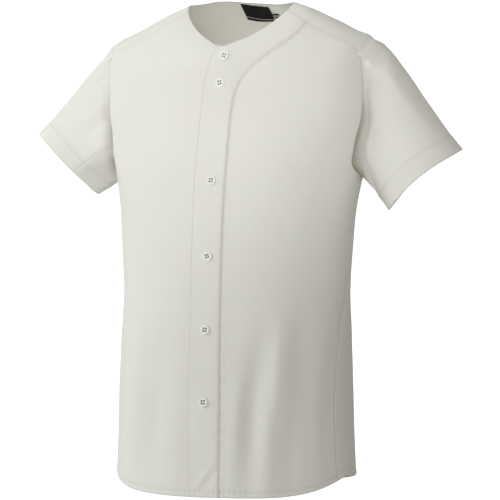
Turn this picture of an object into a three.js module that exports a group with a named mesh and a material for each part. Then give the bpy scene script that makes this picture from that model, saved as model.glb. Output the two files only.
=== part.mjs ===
// Short-sleeved baseball jersey with a buttoned front, filled out as if worn, with nobody in it.
// Millimetres, +Z up, +Y to the wearer's back, +X to the wearer's left.
// The origin is midway between the two points where the shoulder seams meet the neckline.
import * as THREE from 'three';

// Cloth
const WALL = 1.4;
const SEAM_GAP = 0.3;
const LAYER_GAP = 0.4;

// The body in level rings, hem first. half is half the width, shift is where the side line lies
// behind the origin, front and back are the depths from that line, side, fore and rear are the
// heights of the ring there, and dip shapes the ring's height between its side and its front or
// back: 0 is a soft shirt-tail step, else a power. lift is how much higher the wearer's right side
// lies, where the raised sleeve pulls it up. round is the power of the ring's oval: 2 is an ellipse,
// more is squarer, and less comes to a point, as the neckline does. Most rings have no lift and
// the same round, added at the end.
const LEVELS = [
  { half: 195, shift: -20, front: 124, back: 106, side: -735, fore: -770, rear: -752, dip: 0, lift: 8 },
  { half: 192, shift: -20, front: 124, back: 106, side: -672, fore: -688, rear: -680, dip: 0, lift: 5 },
  { half: 190, shift: -20, front: 124, back: 106, side: -599, fore: -603, rear: -601, dip: 0, lift: 2 },
  { half: 187, shift: -19, front: 121, back: 105, side: -520, fore: -520, rear: -520, dip: 1 },
  { half: 184, shift: -18, front: 117, back: 104, side: -452, fore: -452, rear: -452, dip: 1 },
  { half: 188, shift: -18, front: 112, back: 106, side: -388, fore: -388, rear: -388, dip: 1, lift: 3 },
  { half: 193, shift: -17, front: 106, back: 109, side: -329, fore: -331, rear: -329, dip: 1, lift: 9 },
  { half: 203, shift: -14, front: 102, back: 113, side: -274, fore: -282, rear: -272, dip: 1, lift: 17 },
  { half: 212, shift: -11, front: 96, back: 115, side: -232, fore: -240, rear: -228, dip: 1, lift: 17 },
  { half: 218, shift: -8, front: 90, back: 116, side: -188, fore: -203, rear: -183, dip: 1.1, lift: 14 },
  { half: 221, shift: -5, front: 86, back: 114, side: -143, fore: -170, rear: -136, dip: 1.1, lift: 9 },
  { half: 223, shift: -2, front: 84, back: 108, side: -82, fore: -142, rear: -86, dip: 1.2, lift: 4 },
  { half: 215, shift: 0, front: 84, back: 99, side: -53, fore: -121, rear: -61, dip: 1.2 },
  { half: 189, shift: 0, front: 83, back: 88, side: -42, fore: -107, rear: -41, dip: 1.2, round: 2.25 },
  { half: 155, shift: 0, front: 82, back: 76, side: -27, fore: -95, rear: -23, dip: 1.3, round: 2.1 },
  { half: 121, shift: 0, front: 77, back: 65, side: -11, fore: -82, rear: -8, dip: 1.3, round: 1.85 },
  { half: 90, shift: 0, front: 68, back: 56, side: 0, fore: -69, rear: 5, dip: 1.1, round: 1.55 },
].map((ring) => ({ lift: 0, round: 2.3, ...ring }));
const ARMPIT_LEVEL = 7;
const TIP_LEVEL = 12;
const NECK_LEVEL = 16;
const V_DEPTH = 1;
const V_HALF_WIDTH = 34;
const V_CENTRE = 1;

// Where the seams run around the body, in degrees from centre front, at levels from the table above.
const SIDE_SEAM = [
  { level: 0, front: 77, back: 116 },
  { level: 2, front: 77, back: 115 },
  { level: 3, front: 82, back: 113 },
  { level: 4, front: 90, back: 111 },
  { level: 5, front: 97, back: 109 },
  { level: 7, front: 97, back: 108 },
];
// The armhole, from the armpit up: the levels of each grid row at centre front and at centre back,
// and where its two ends meet the sleeve, as angle and level.
const ARMHOLE = [
  { frontRow: 7, backRow: 7, front: 97, frontLevel: 7, back: 108, backLevel: 7 },
  { frontRow: 7.45, backRow: 7.6, front: 88, frontLevel: 7.12, back: 109.5, backLevel: 7.5 },
  { frontRow: 7.9, backRow: 8.2, front: 82.2, frontLevel: 7.45, back: 110.5, backLevel: 8 },
  { frontRow: 8.35, backRow: 8.8, front: 81.6, frontLevel: 7.95, back: 111, backLevel: 8.55 },
  { frontRow: 8.8, backRow: 9.4, front: 82.4, frontLevel: 8.5, back: 111, backLevel: 9.15 },
  { frontRow: 9.25, backRow: 10, front: 83.4, frontLevel: 9.05, back: 110.3, backLevel: 9.8 },
  { frontRow: 9.7, backRow: 10.6, front: 83.7, frontLevel: 9.6, back: 108.5, backLevel: 10.45 },
  { frontRow: 10.15, backRow: 11.2, front: 83.5, frontLevel: 10.15, back: 105, backLevel: 11 },
  { frontRow: 10.6, backRow: 11.8, front: 83, frontLevel: 10.6, back: 100, backLevel: 11.4 },
  { frontRow: 11.05, backRow: 12.3, front: 82.6, frontLevel: 11, back: 94, backLevel: 11.65 },
  { frontRow: 11.5, backRow: 12.8, front: 82, frontLevel: 11.4, back: 87.5, backLevel: 11.75 },
  { frontRow: 12, backRow: 13.3, front: 81.5, frontLevel: 11.7, back: 81.5, backLevel: 11.7 },
];
const SHOULDER_SEAM = [
  { level: 12, front: 81.5, back: 81.5 },
  { level: 13, front: 80, back: 80 },
  { level: 14.5, front: 77, back: 77 },
  { level: 16, front: 80, back: 80 },
];

// The left front laps over the right one: its free edge and the end of the right front below it,
// measured across from the centre line, and the distance over which the lap settles.
const FREE_EDGE = [
  { level: 0, x: -27 },
  { level: 3, x: -27 },
  { level: 8, x: -30 },
  { level: 11, x: -28 },
  { level: 13, x: -21 },
  { level: 16, x: -11 },
];
const RIGHT_FRONT_END = 12;
const LAP_STEP = 20;
const LAP_SETTLED = 38;

// Broad soft folds of the body, outward where depth is positive: middle angle and half spread in
// degrees, lowest and highest point, and how far the fold leans over that height.
const BODY_FOLDS = [
  { angle: 52, spread: 11, low: -745, high: -470, lean: -8, depth: 3.5 },
  { angle: 32, spread: 9, low: -730, high: -560, lean: 5, depth: -2.5 },
  { angle: -60, spread: 12, low: -740, high: -500, lean: 8, depth: 3 },
  { angle: 140, spread: 12, low: -700, high: -430, lean: 10, depth: -4 },
  { angle: -136, spread: 12, low: -710, high: -400, lean: -12, depth: -4.5 },
  { angle: 176, spread: 14, low: -650, high: -420, lean: 0, depth: -3 },
];

// Sleeves: the top and bottom points of each cuff's oval, its depth from front to back, how far
// that depth is turned from straight back, and how hollow the cuff is cut at its front and back.
// capLift raises the cap before it falls. The under panel's seams leave the armhole a few steps up
// and reach the cuff at the angles underFront and underBack from its lowest point, and the lines
// that leave the side panel's corners reach it at sideFront and sideBack.
const SLEEVES = {
  left: {
    side: 1, top: [368, 2, -235], bottom: [253, -9, -327], depth: 92, turn: 24, hollow: 11, capLift: 0.32,
    sideFront: -20, underFront: 0, underBack: 102, sideBack: 44,
  },
  right: {
    side: -1, top: [374, 40, -199], bottom: [268, 30, -297], depth: 92, turn: -16, hollow: 0, capLift: 0.25,
    sideFront: 12, underFront: 62, underBack: 62, sideBack: 12,
  },
};
const UNDER_PANEL_STEPS = 3;
const CUFF_TOP_OFFSET = 1;

// Grid steps
const ROWS_PER_BODY_LEVEL = 2;
const ARMHOLE_STEPS = ARMHOLE.length - 1;
const ROWS_PER_SHOULDER_LEVEL = 2;
const FRONT_COLUMNS = 7;
const BACK_EDGE_COLUMNS = 4;
const BACK_MIDDLE_COLUMNS = 12;
const BACK_EDGE_REACH = 18;
const BACK_EDGE_LIMIT = 126;
const SIDE_COLUMNS = 4;
const SLEEVE_ROWS = 8;

// Buttons: sewn flat, four holes each
const BUTTON = { radius: 7.5, thick: 2.4, hole: 0.9, holeSpread: 1.6, sides: 24, holeSides: 8 };
const BUTTONS = [
  { x: 6, z: -88 },
  { x: 1, z: -129 },
  { x: 0, z: -282 },
  { x: 0, z: -399 },
  { x: 0, z: -512 },
  { x: -1, z: -623 },
];

// Labels sewn inside the back neck
const LABEL = { middle: 2, width: 47, height: 27, slant: 4, thick: 1, drop: 4, columns: 6, rows: 2 };
const SIZE_TAG = { middle: 33, width: 12, height: 9, slant: 1, thick: 1, drop: 17, columns: 2, rows: 1 };

const IVORY = { color: 0xe9e6dc, roughness: 0.85, metalness: 0 };
const PEARL = { color: 0xf1efe8, roughness: 0.35, metalness: 0 };
const BLACK = { color: 0x17171a, roughness: 0.8, metalness: 0 };
const TAG_GREY = { color: 0x2a2a2c, roughness: 0.8, metalness: 0 };

const radians = THREE.MathUtils.degToRad;
const vec = (x, y, z) => new THREE.Vector3(x, y, z);

// A column of a short table at any level, eased smoothly between its rows.
function lookUp(table, column, level) {
  let i = 0;
  while (i < table.length - 2 && level > table[i + 1].level) i += 1;
  const low = table[i];
  const high = table[i + 1];
  const t = THREE.MathUtils.clamp((level - low.level) / (high.level - low.level), 0, 1);
  const before = table[Math.max(i - 1, 0)];
  const after = table[Math.min(i + 2, table.length - 1)];
  const span = high.level - low.level;
  const slopeIn = span * (high[column] - before[column]) / Math.max(high.level - before.level, span);
  const slopeOut = span * (after[column] - low[column]) / Math.max(after.level - low.level, span);
  const t2 = t * t;
  const t3 = t2 * t;
  return (2 * t3 - 3 * t2 + 1) * low[column] + (t3 - 2 * t2 + t) * slopeIn
    + (3 * t2 - 2 * t3) * high[column] + (t3 - t2) * slopeOut;
}

// One point of a level ring, at an angle from centre front, positive to the wearer's left.
function ringPoint(ring, angle) {
  const across = Math.sin(angle);
  const ahead = Math.cos(angle);
  const deep = ahead > 0 ? ring.front : ring.back;
  const reach = (Math.abs(across) / ring.half) ** ring.round + (Math.abs(ahead) / deep) ** ring.round;
  const radius = reach ** (-1 / ring.round);
  const share = radius * Math.abs(ahead) / deep;
  const fall = ring.dip === 0 ? share * share * (3 - 2 * share) : share ** ring.dip;
  const end = ahead > 0 ? ring.fore : ring.rear;
  const lift = ring.lift * Math.min(0, radius * across / ring.half) ** 2;
  return vec(radius * across, ring.shift - radius * ahead, ring.side + (end - ring.side) * fall + lift);
}

function foldHeight(angle, z) {
  let height = 0;
  for (const fold of BODY_FOLDS) {
    const along = (z - fold.low) / (fold.high - fold.low);
    if (along <= 0 || along >= 1) continue;
    const middle = fold.angle + fold.lean * (along - 0.5);
    const off = (THREE.MathUtils.radToDeg(angle) - middle) / fold.spread;
    if (Math.abs(off) >= 1) continue;
    height += fold.depth * Math.sin(Math.PI * along) * (1 + Math.cos(Math.PI * off)) / 2;
  }
  return height;
}

// The body's middle surface at any angle and level: rings joined by a Catmull-Rom spline.
function bodyPoint(angle, level) {
  const i = Math.min(Math.floor(level), LEVELS.length - 2);
  const t = level - i;
  const pick = (k) => ringPoint(LEVELS[THREE.MathUtils.clamp(k, 0, LEVELS.length - 1)], angle);
  const [p0, p1, p2, p3] = [pick(i - 1), pick(i), pick(i + 1), pick(i + 2)];
  const point = vec(0, 0, 0);
  point.addScaledVector(p0, (-t + 2 * t ** 2 - t ** 3) / 2);
  point.addScaledVector(p1, (2 - 5 * t ** 2 + 3 * t ** 3) / 2);
  point.addScaledVector(p2, (t + 4 * t ** 2 - 3 * t ** 3) / 2);
  point.addScaledVector(p3, (-(t ** 2) + t ** 3) / 2);
  const notch = Math.max(0, 1 - Math.abs(point.x - V_CENTRE) / V_HALF_WIDTH);
  if (Math.cos(angle) > 0) point.z -= V_DEPTH * notch * Math.max(0, level - NECK_LEVEL + 1);
  const wrapped = Math.atan2(Math.sin(angle), Math.cos(angle));
  const out = foldHeight(wrapped, point.z);
  point.x += out * Math.sin(angle);
  point.y -= out * Math.cos(angle);
  return point;
}

function bodyNormal(angle, level) {
  const step = 0.01;
  const low = Math.max(level - step, 0);
  const high = Math.min(level + step, NECK_LEVEL);
  const around = bodyPoint(angle + step, level).sub(bodyPoint(angle - step, level));
  const up = bodyPoint(angle, high).sub(bodyPoint(angle, low));
  return around.cross(up).normalize();
}

function steps(from, to, count) {
  return Array.from({ length: count }, (_, i) => from + (to - from) * i / count);
}

// Levels of the grid rows at centre front and centre back, hem to neck. The back's rows run down
// to its ends over the shoulders, so that they cross the armhole and the shoulder seam.
const SHOULDER_ROWS = (NECK_LEVEL - TIP_LEVEL) * ROWS_PER_SHOULDER_LEVEL;
const BELOW_ARMPIT = steps(0, ARMPIT_LEVEL, ARMPIT_LEVEL * ROWS_PER_BODY_LEVEL);
function rowLevels(column) {
  const armhole = ARMHOLE.map((item) => item[column]);
  const tip = armhole.pop();
  return [...BELOW_ARMPIT, ...armhole, ...steps(tip, NECK_LEVEL, SHOULDER_ROWS), NECK_LEVEL];
}
const FRONT_ROWS = rowLevels('frontRow');
const BACK_ROWS = rowLevels('backRow');
const ARMPIT_ROW = BELOW_ARMPIT.length;
const TIP_ROW = ARMPIT_ROW + ARMHOLE_STEPS;

// Where a body panel's front or back edge lies in a grid row, as angle and level.
function edgeSpot(i, column) {
  if (i >= ARMPIT_ROW && i <= TIP_ROW) {
    const item = ARMHOLE[i - ARMPIT_ROW];
    return { angle: radians(item[column]), level: item[`${column}Level`] };
  }
  const level = FRONT_ROWS[i];
  const table = i < ARMPIT_ROW ? SIDE_SEAM : SHOULDER_SEAM;
  return { angle: radians(lookUp(table, column, level)), level };
}

// The sleeve of one side as a closed loop of lines, each running from the armhole to the cuff.
// The loop starts at the front end of the side panel's top edge, goes up the front, over the
// shoulder tip, down the back and along the side panel's top edge to its start.
function makeSleeve(spec) {
  const loop = [];
  const addLoopPoint = (angle, level) => loop.push({
    point: bodyPoint(spec.side * angle, level),
    bodyNormal: bodyNormal(spec.side * angle, level),
  });
  ARMHOLE.forEach((item) => addLoopPoint(radians(item.front), item.frontLevel));
  ARMHOLE.slice(0, -1).reverse().forEach((item) => addLoopPoint(radians(item.back), item.backLevel));
  const { front, back } = ARMHOLE[0];
  for (let k = 1; k < SIDE_COLUMNS; k += 1) {
    addLoopPoint(radians(back + (front - back) * k / SIDE_COLUMNS), ARMPIT_LEVEL);
  }
  setCuffTurns(loop, spec);

  const top = vec(spec.side * spec.top[0], spec.top[1], spec.top[2]);
  const bottom = vec(spec.side * spec.bottom[0], spec.bottom[1], spec.bottom[2]);
  const middle = top.clone().add(bottom).multiplyScalar(0.5);
  const upHalf = top.clone().sub(middle);
  const backward = vec(-spec.side * Math.sin(radians(spec.turn)), Math.cos(radians(spec.turn)), 0);
  backward.addScaledVector(upHalf, -backward.dot(upHalf) / upHalf.lengthSq()).normalize();
  const backHalf = backward.multiplyScalar(spec.depth / 2);
  const root = loop.reduce((sum, item) => sum.add(item.point), vec(0, 0, 0)).divideScalar(loop.length);
  const axis = middle.clone().sub(root).normalize();
  const lowest = loop[0].point.z;
  const highest = Math.max(...loop.map((line) => line.point.z));
  for (const line of loop) {
    const height = THREE.MathUtils.clamp((line.point.z - lowest) / (highest - lowest), 0, 1);
    line.end = middle.clone().addScaledVector(upHalf, -Math.cos(line.turn))
      .addScaledVector(backHalf, -Math.sin(line.turn))
      .addScaledVector(axis, -spec.hollow * Math.sin(line.turn) ** 2);
    const chord = line.end.clone().sub(line.point);
    const span = chord.length();
    chord.divideScalar(span);
    const lift = vec(0, 0, spec.capLift * height * height);
    line.startPull = chord.clone().add(lift).normalize().multiplyScalar(span);
    line.endPull = chord.add(axis).normalize().multiplyScalar(span);
  }
  const pointAt = (k, share) => {
    const line = loop[(k + loop.length) % loop.length];
    const s2 = share * share;
    const s3 = s2 * share;
    return vec(0, 0, 0)
      .addScaledVector(line.point, 2 * s3 - 3 * s2 + 1)
      .addScaledVector(line.startPull, s3 - 2 * s2 + share)
      .addScaledVector(line.end, 3 * s2 - 2 * s3)
      .addScaledVector(line.endPull, s3 - s2);
  };
  const normalAt = (k, share) => {
    const around = pointAt(k + 1, share).sub(pointAt(k - 1, share));
    const near = Math.max(share - 0.02, 0);
    const far = Math.min(share + 0.02, 1);
    const along = pointAt(k, far).sub(pointAt(k, near));
    return around.cross(along).multiplyScalar(-spec.side).normalize();
  };
  loop.forEach((line, k) => {
    const sleeveNormal = normalAt(k, 0);
    const mitre = line.bodyNormal.clone().add(sleeveNormal).normalize();
    const tangent = loop[(k + 1) % loop.length].point.clone()
      .sub(loop[(k - 1 + loop.length) % loop.length].point);
    line.mitre = mitre.clone().divideScalar(Math.max(mitre.dot(line.bodyNormal), 0.5));
    line.outward = tangent.cross(mitre).multiplyScalar(spec.side).normalize();
  });
  return { loop, pointAt, normalAt };
}
const SLEEVE = { left: makeSleeve(SLEEVES.left), right: makeSleeve(SLEEVES.right) };

// Where each line of the loop reaches the cuff, in radians from its lowest point by the front.
// Between the marks below, the turn follows the length along the armhole.
function setCuffTurns(loop, spec) {
  const last = 2 * ARMHOLE_STEPS;
  const top = ARMHOLE_STEPS + CUFF_TOP_OFFSET;
  const marks = [
    { k: 0, turn: spec.sideFront },
    { k: UNDER_PANEL_STEPS, turn: spec.underFront },
    { k: top, turn: 180 },
    { k: last - UNDER_PANEL_STEPS, turn: 360 - spec.underBack },
    { k: last, turn: 360 - spec.sideBack },
    { k: loop.length, turn: 360 + spec.sideFront },
  ];
  const run = [0];
  for (let k = 1; k <= loop.length; k += 1) {
    run.push(run[k - 1] + loop[k % loop.length].point.distanceTo(loop[k - 1].point));
  }
  loop.forEach((line, k) => {
    const next = marks.findIndex((mark) => mark.k > k);
    const [from, to] = [marks[next - 1], marks[next]];
    const share = (run[k] - run[from.k]) / (run[to.k] - run[from.k]);
    line.turn = radians(from.turn + (to.turn - from.turn) * share);
  });
}

// The armhole line that a body panel's edge meets in a row: on the front or on the back edge.
function armholeLine(side, row, column) {
  const j = row - ARMPIT_ROW;
  const { loop } = SLEEVE[side > 0 ? 'left' : 'right'];
  return column === 'front' ? loop[j] : loop[(2 * ARMHOLE_STEPS - j) % loop.length];
}

// A closed wall around a grid of middle points, each with its own half-thickness vector.
function wall(grid) {
  const rows = grid.length;
  const columns = grid[0].length;
  const positions = [];
  for (const sign of [1, -1]) {
    for (const row of grid) {
      for (const cell of row) {
        const p = cell.point.clone().addScaledVector(cell.half, sign);
        positions.push(p.x, p.y, p.z);
      }
    }
  }
  const outer = (i, j) => i * columns + j;
  const inner = (i, j) => rows * columns + outer(i, j);
  const faces = [];
  const quad = (a, b, c, d) => faces.push(a, b, c, a, c, d);
  for (let i = 0; i < rows - 1; i += 1) {
    for (let j = 0; j < columns - 1; j += 1) {
      quad(outer(i, j), outer(i, j + 1), outer(i + 1, j + 1), outer(i + 1, j));
      quad(inner(i, j), inner(i + 1, j), inner(i + 1, j + 1), inner(i, j + 1));
    }
  }
  for (let j = 0; j < columns - 1; j += 1) {
    quad(outer(0, j), inner(0, j), inner(0, j + 1), outer(0, j + 1));
    quad(outer(rows - 1, j), outer(rows - 1, j + 1), inner(rows - 1, j + 1), inner(rows - 1, j));
  }
  for (let i = 0; i < rows - 1; i += 1) {
    quad(outer(i, 0), outer(i + 1, 0), inner(i + 1, 0), inner(i, 0));
    quad(outer(i, columns - 1), inner(i, columns - 1), inner(i + 1, columns - 1), outer(i + 1, columns - 1));
  }
  return closedGeometry(positions, faces);
}

// Faces are turned outward where the grid ran the other way round.
function closedGeometry(positions, faces) {
  let volume = 0;
  const corner = (k) => vec(positions[3 * k], positions[3 * k + 1], positions[3 * k + 2]);
  for (let f = 0; f < faces.length; f += 3) {
    volume += corner(faces[f]).dot(corner(faces[f + 1]).cross(corner(faces[f + 2])));
  }
  if (volume < 0) faces.reverse();
  const geometry = new THREE.BufferGeometry();
  geometry.setAttribute('position', new THREE.Float32BufferAttribute(positions, 3));
  geometry.setIndex(faces);
  return geometry;
}

// One body grid cell, with its wall along the body's normal and moved out by a lift.
function bodyCell(angle, level, lift = 0) {
  const normal = bodyNormal(angle, level);
  return {
    point: bodyPoint(angle, level).addScaledVector(normal, lift),
    half: normal.multiplyScalar(WALL / 2),
  };
}

// Pulls a cell back from a seam, towards its neighbour inside the panel.
function pullIn(cell, neighbour) {
  const inward = neighbour.point.clone().sub(cell.point).normalize();
  cell.point.addScaledVector(inward, SEAM_GAP / 2);
}

function mitreToArmhole(cell, line) {
  cell.point.copy(line.point).addScaledVector(line.outward, -SEAM_GAP / 2);
  cell.half = line.mitre.clone().multiplyScalar(WALL / 2);
}

// Seam edge of a body panel: mitred to the sleeve along the armhole, plain elsewhere.
function finishSeamEdge(grid, column, neighbourColumn, side, edge) {
  grid.forEach((row, i) => {
    const onArmhole = i >= ARMPIT_ROW && i <= TIP_ROW;
    const corner = i === ARMPIT_ROW || i === TIP_ROW;
    if (onArmhole) mitreToArmhole(row[column], armholeLine(side, i, edge));
    if (!onArmhole || corner) pullIn(row[column], row[neighbourColumn]);
  });
}

// Both fronts share these columns near the centre, so that their layers run parallel.
function lapColumns(level) {
  const edge = lookUp(FREE_EDGE, 'x', level);
  return [edge, (edge + RIGHT_FRONT_END) / 2, RIGHT_FRONT_END, LAP_STEP, LAP_SETTLED];
}

// How far behind the origin a level's side line lies.
function bodyShift(level) {
  const i = Math.min(Math.floor(level), LEVELS.length - 2);
  return LEVELS[i].shift + (LEVELS[i + 1].shift - LEVELS[i].shift) * (level - i);
}

// The angle at which the front reaches a distance from the centre line.
function angleOfX(x, level) {
  return Math.atan2(x, -bodyPoint(0, level).y + bodyShift(level));
}

function makeFront(side) {
  const lift = WALL + LAYER_GAP;
  const grid = FRONT_ROWS.map((level, i) => {
    const [edge, inLap, rightEnd, lapStep, settled] = lapColumns(level);
    const near = side > 0
      ? [[edge, lift], [inLap, lift], [rightEnd, lift], [lapStep, lift * 0.8], [settled, 0]]
      : [[rightEnd, 0], [inLap, 0], [edge, 0], [edge - (settled - lapStep), 0]];
    const cells = near.map(([x, up]) => bodyCell(angleOfX(x, level), level, up));
    const start = angleOfX(near[near.length - 1][0], level);
    const seam = edgeSpot(i, 'front');
    for (let j = 1; j <= FRONT_COLUMNS; j += 1) {
      const share = j / FRONT_COLUMNS;
      const angle = start + (side * seam.angle - start) * share;
      cells.push(bodyCell(angle, level + (seam.level - level) * share * share));
    }
    return cells;
  });
  const last = grid[0].length - 1;
  finishSeamEdge(grid, last, last - 1, side, 'front');
  return wall(grid);
}

function makeBack() {
  const grid = BACK_ROWS.map((level, i) => {
    const seam = edgeSpot(i, 'back');
    const inner = Math.max(seam.angle + radians(BACK_EDGE_REACH), radians(BACK_EDGE_LIMIT));
    const edge = [];
    for (let j = 0; j < BACK_EDGE_COLUMNS; j += 1) {
      const share = 1 - j / BACK_EDGE_COLUMNS;
      edge.push({
        angle: inner + (seam.angle - inner) * share,
        level: level + (seam.level - level) * share * share,
      });
    }
    const middle = [...steps(inner, 2 * Math.PI - inner, BACK_MIDDLE_COLUMNS), 2 * Math.PI - inner];
    const mirrored = edge.map((spot) => ({ angle: 2 * Math.PI - spot.angle, level: spot.level })).reverse();
    const spots = [...edge, ...middle.map((angle) => ({ angle, level })), ...mirrored];
    return spots.map((spot) => bodyCell(spot.angle, spot.level));
  });
  const last = grid[0].length - 1;
  finishSeamEdge(grid, 0, 1, 1, 'back');
  finishSeamEdge(grid, last, last - 1, -1, 'back');
  return wall(grid);
}

function makeSidePanel(side) {
  const { loop } = SLEEVE[side > 0 ? 'left' : 'right'];
  const grid = FRONT_ROWS.slice(0, ARMPIT_ROW + 1).map((level, i) => {
    const back = edgeSpot(i, 'back').angle;
    const front = edgeSpot(i, 'front').angle;
    return Array.from({ length: SIDE_COLUMNS + 1 }, (_, k) => (
      bodyCell(side * (back + (front - back) * k / SIDE_COLUMNS), level)));
  });
  const armholeStart = 2 * ARMHOLE_STEPS;
  grid[ARMPIT_ROW].forEach((cell, k) => mitreToArmhole(cell, loop[(armholeStart + k) % loop.length]));
  for (const row of grid) {
    pullIn(row[0], row[1]);
    pullIn(row[SIDE_COLUMNS], row[SIDE_COLUMNS - 1]);
  }
  return wall(grid);
}

// A sleeve panel between two lines of the loop.
function makeSleevePanel(name, first, last) {
  const { loop, pointAt, normalAt } = SLEEVE[name];
  const grid = [];
  for (let r = 0; r <= SLEEVE_ROWS; r += 1) {
    const share = r / SLEEVE_ROWS;
    const row = [];
    for (let k = first; k <= last; k += 1) {
      const line = loop[(k + loop.length) % loop.length];
      const cell = { point: pointAt(k, share), half: normalAt(k, share).multiplyScalar(WALL / 2) };
      if (r === 0) {
        cell.point.addScaledVector(line.outward, SEAM_GAP / 2);
        cell.half = line.mitre.clone().multiplyScalar(WALL / 2);
      }
      row.push(cell);
    }
    pullIn(row[0], row[1]);
    pullIn(row[row.length - 1], row[row.length - 2]);
    grid.push(row);
  }
  return wall(grid);
}

// A label on the inside of the back neck, from the back panel's points moved in.
function makeLabel(spec) {
  const inset = -(WALL / 2 + SEAM_GAP + spec.thick / 2);
  const depthAt = LEVELS[NECK_LEVEL].back + 6;
  const grid = [];
  for (let r = 0; r <= spec.rows; r += 1) {
    const row = [];
    for (let c = 0; c <= spec.columns; c += 1) {
      const x = spec.middle + spec.width * (c / spec.columns - 0.5);
      const angle = Math.PI - Math.atan2(x, depthAt);
      const drop = spec.drop + spec.height * r / spec.rows + spec.slant * (c / spec.columns - 0.5);
      const level = levelBelowNeck(angle, drop);
      const normal = bodyNormal(angle, level);
      row.push({
        point: bodyPoint(angle, level).addScaledVector(normal, inset),
        half: normal.clone().multiplyScalar(spec.thick / 2),
      });
    }
    grid.push(row);
  }
  return wall(grid);
}

// The level at which the cloth, followed down from the neckline, has run a given length.
function levelBelowNeck(angle, length) {
  const step = 0.05;
  let run = 0;
  let level = NECK_LEVEL;
  let last = bodyPoint(angle, level);
  while (run < length && level > step) {
    level -= step;
    const next = bodyPoint(angle, level);
    run += next.distanceTo(last);
    last = next;
  }
  return level;
}

function polygon(radius, sides, x = 0, y = 0) {
  return Array.from({ length: sides }, (_, i) => {
    const turn = 2 * Math.PI * i / sides;
    return new THREE.Vector2(x + radius * Math.cos(turn), y + radius * Math.sin(turn));
  });
}

function buttonGeometry() {
  const outline = new THREE.Shape(polygon(BUTTON.radius, BUTTON.sides));
  for (const [sx, sy] of [[1, 1], [-1, 1], [-1, -1], [1, -1]]) {
    const hole = polygon(BUTTON.hole, BUTTON.holeSides, sx * BUTTON.holeSpread, sy * BUTTON.holeSpread);
    outline.holes.push(new THREE.Path(hole));
  }
  return new THREE.ExtrudeGeometry(outline, { depth: BUTTON.thick, bevelEnabled: false });
}

// The level at which the centre front reaches a height.
function levelOfHeight(angle, z) {
  let low = 0;
  let high = NECK_LEVEL;
  for (let i = 0; i < 40; i += 1) {
    const middle = (low + high) / 2;
    if (bodyPoint(angle, middle).z < z) low = middle;
    else high = middle;
  }
  return (low + high) / 2;
}

function placeButton(mesh, spot) {
  const level = levelOfHeight(0, spot.z);
  const angle = angleOfX(spot.x, level);
  const normal = bodyNormal(angle, level);
  const seat = WALL + LAYER_GAP + WALL / 2 + SEAM_GAP;
  mesh.position.copy(bodyPoint(angle, level)).addScaledVector(normal, seat);
  mesh.quaternion.setFromUnitVectors(vec(0, 0, 1), normal);
}

const jersey = new THREE.Group();
function add(name, geometry, look) {
  const mesh = new THREE.Mesh(geometry, new THREE.MeshStandardMaterial(look));
  mesh.name = name;
  jersey.add(mesh);
  return mesh;
}

add('front_left', makeFront(1), IVORY);
add('front_right', makeFront(-1), IVORY);
add('back', makeBack(), IVORY);
for (const name of ['left', 'right']) {
  const { side } = SLEEVES[name];
  const wholeLoop = SLEEVE[name].loop.length;
  const underStart = 2 * ARMHOLE_STEPS - UNDER_PANEL_STEPS;
  add(`side_${name}`, makeSidePanel(side), IVORY);
  add(`sleeve_${name}`, makeSleevePanel(name, UNDER_PANEL_STEPS, underStart), IVORY);
  add(`sleeve_under_${name}`, makeSleevePanel(name, underStart, wholeLoop + UNDER_PANEL_STEPS), IVORY);
}
BUTTONS.forEach((spot, i) => placeButton(add(`button_${i + 1}`, buttonGeometry(), PEARL), spot));
add('neck_label', makeLabel(LABEL), BLACK);
add('size_tag', makeLabel(SIZE_TAG), TAG_GREY);

export default jersey;
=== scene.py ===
"""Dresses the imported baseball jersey: cloth panels, topstitching, buttons, labels and a plain stage.

Metres, +Z up, +Y to the wearer's back, +X to the wearer's left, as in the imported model. The cloth is
worked out in millimetres, from the same ring tables as the solids.
"""

import math

import bmesh
import bpy
import numpy as np
from mathutils import Matrix, Vector


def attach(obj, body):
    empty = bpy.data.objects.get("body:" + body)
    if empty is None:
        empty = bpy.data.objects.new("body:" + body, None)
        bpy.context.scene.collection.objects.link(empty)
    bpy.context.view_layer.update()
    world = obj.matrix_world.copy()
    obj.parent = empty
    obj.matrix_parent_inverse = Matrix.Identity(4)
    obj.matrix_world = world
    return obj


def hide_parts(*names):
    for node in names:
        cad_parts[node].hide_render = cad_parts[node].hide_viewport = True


bl_info = {
    "name": "Baseball Jersey",
    "version": (1, 0, 0),
    "blender": (4, 5, 0),
    "location": "3D View > Sidebar > Jersey",
    "description": "Sews the cloth, stitching, buttons and labels of a filled-out baseball jersey",
    "category": "Add Mesh",
}

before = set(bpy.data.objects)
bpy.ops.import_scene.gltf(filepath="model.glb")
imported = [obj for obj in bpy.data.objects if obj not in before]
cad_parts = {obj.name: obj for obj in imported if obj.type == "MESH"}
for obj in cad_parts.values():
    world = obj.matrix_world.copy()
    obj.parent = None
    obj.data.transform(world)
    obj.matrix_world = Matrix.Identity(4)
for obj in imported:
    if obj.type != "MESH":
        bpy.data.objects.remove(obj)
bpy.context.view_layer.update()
MM = 0.001

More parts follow.
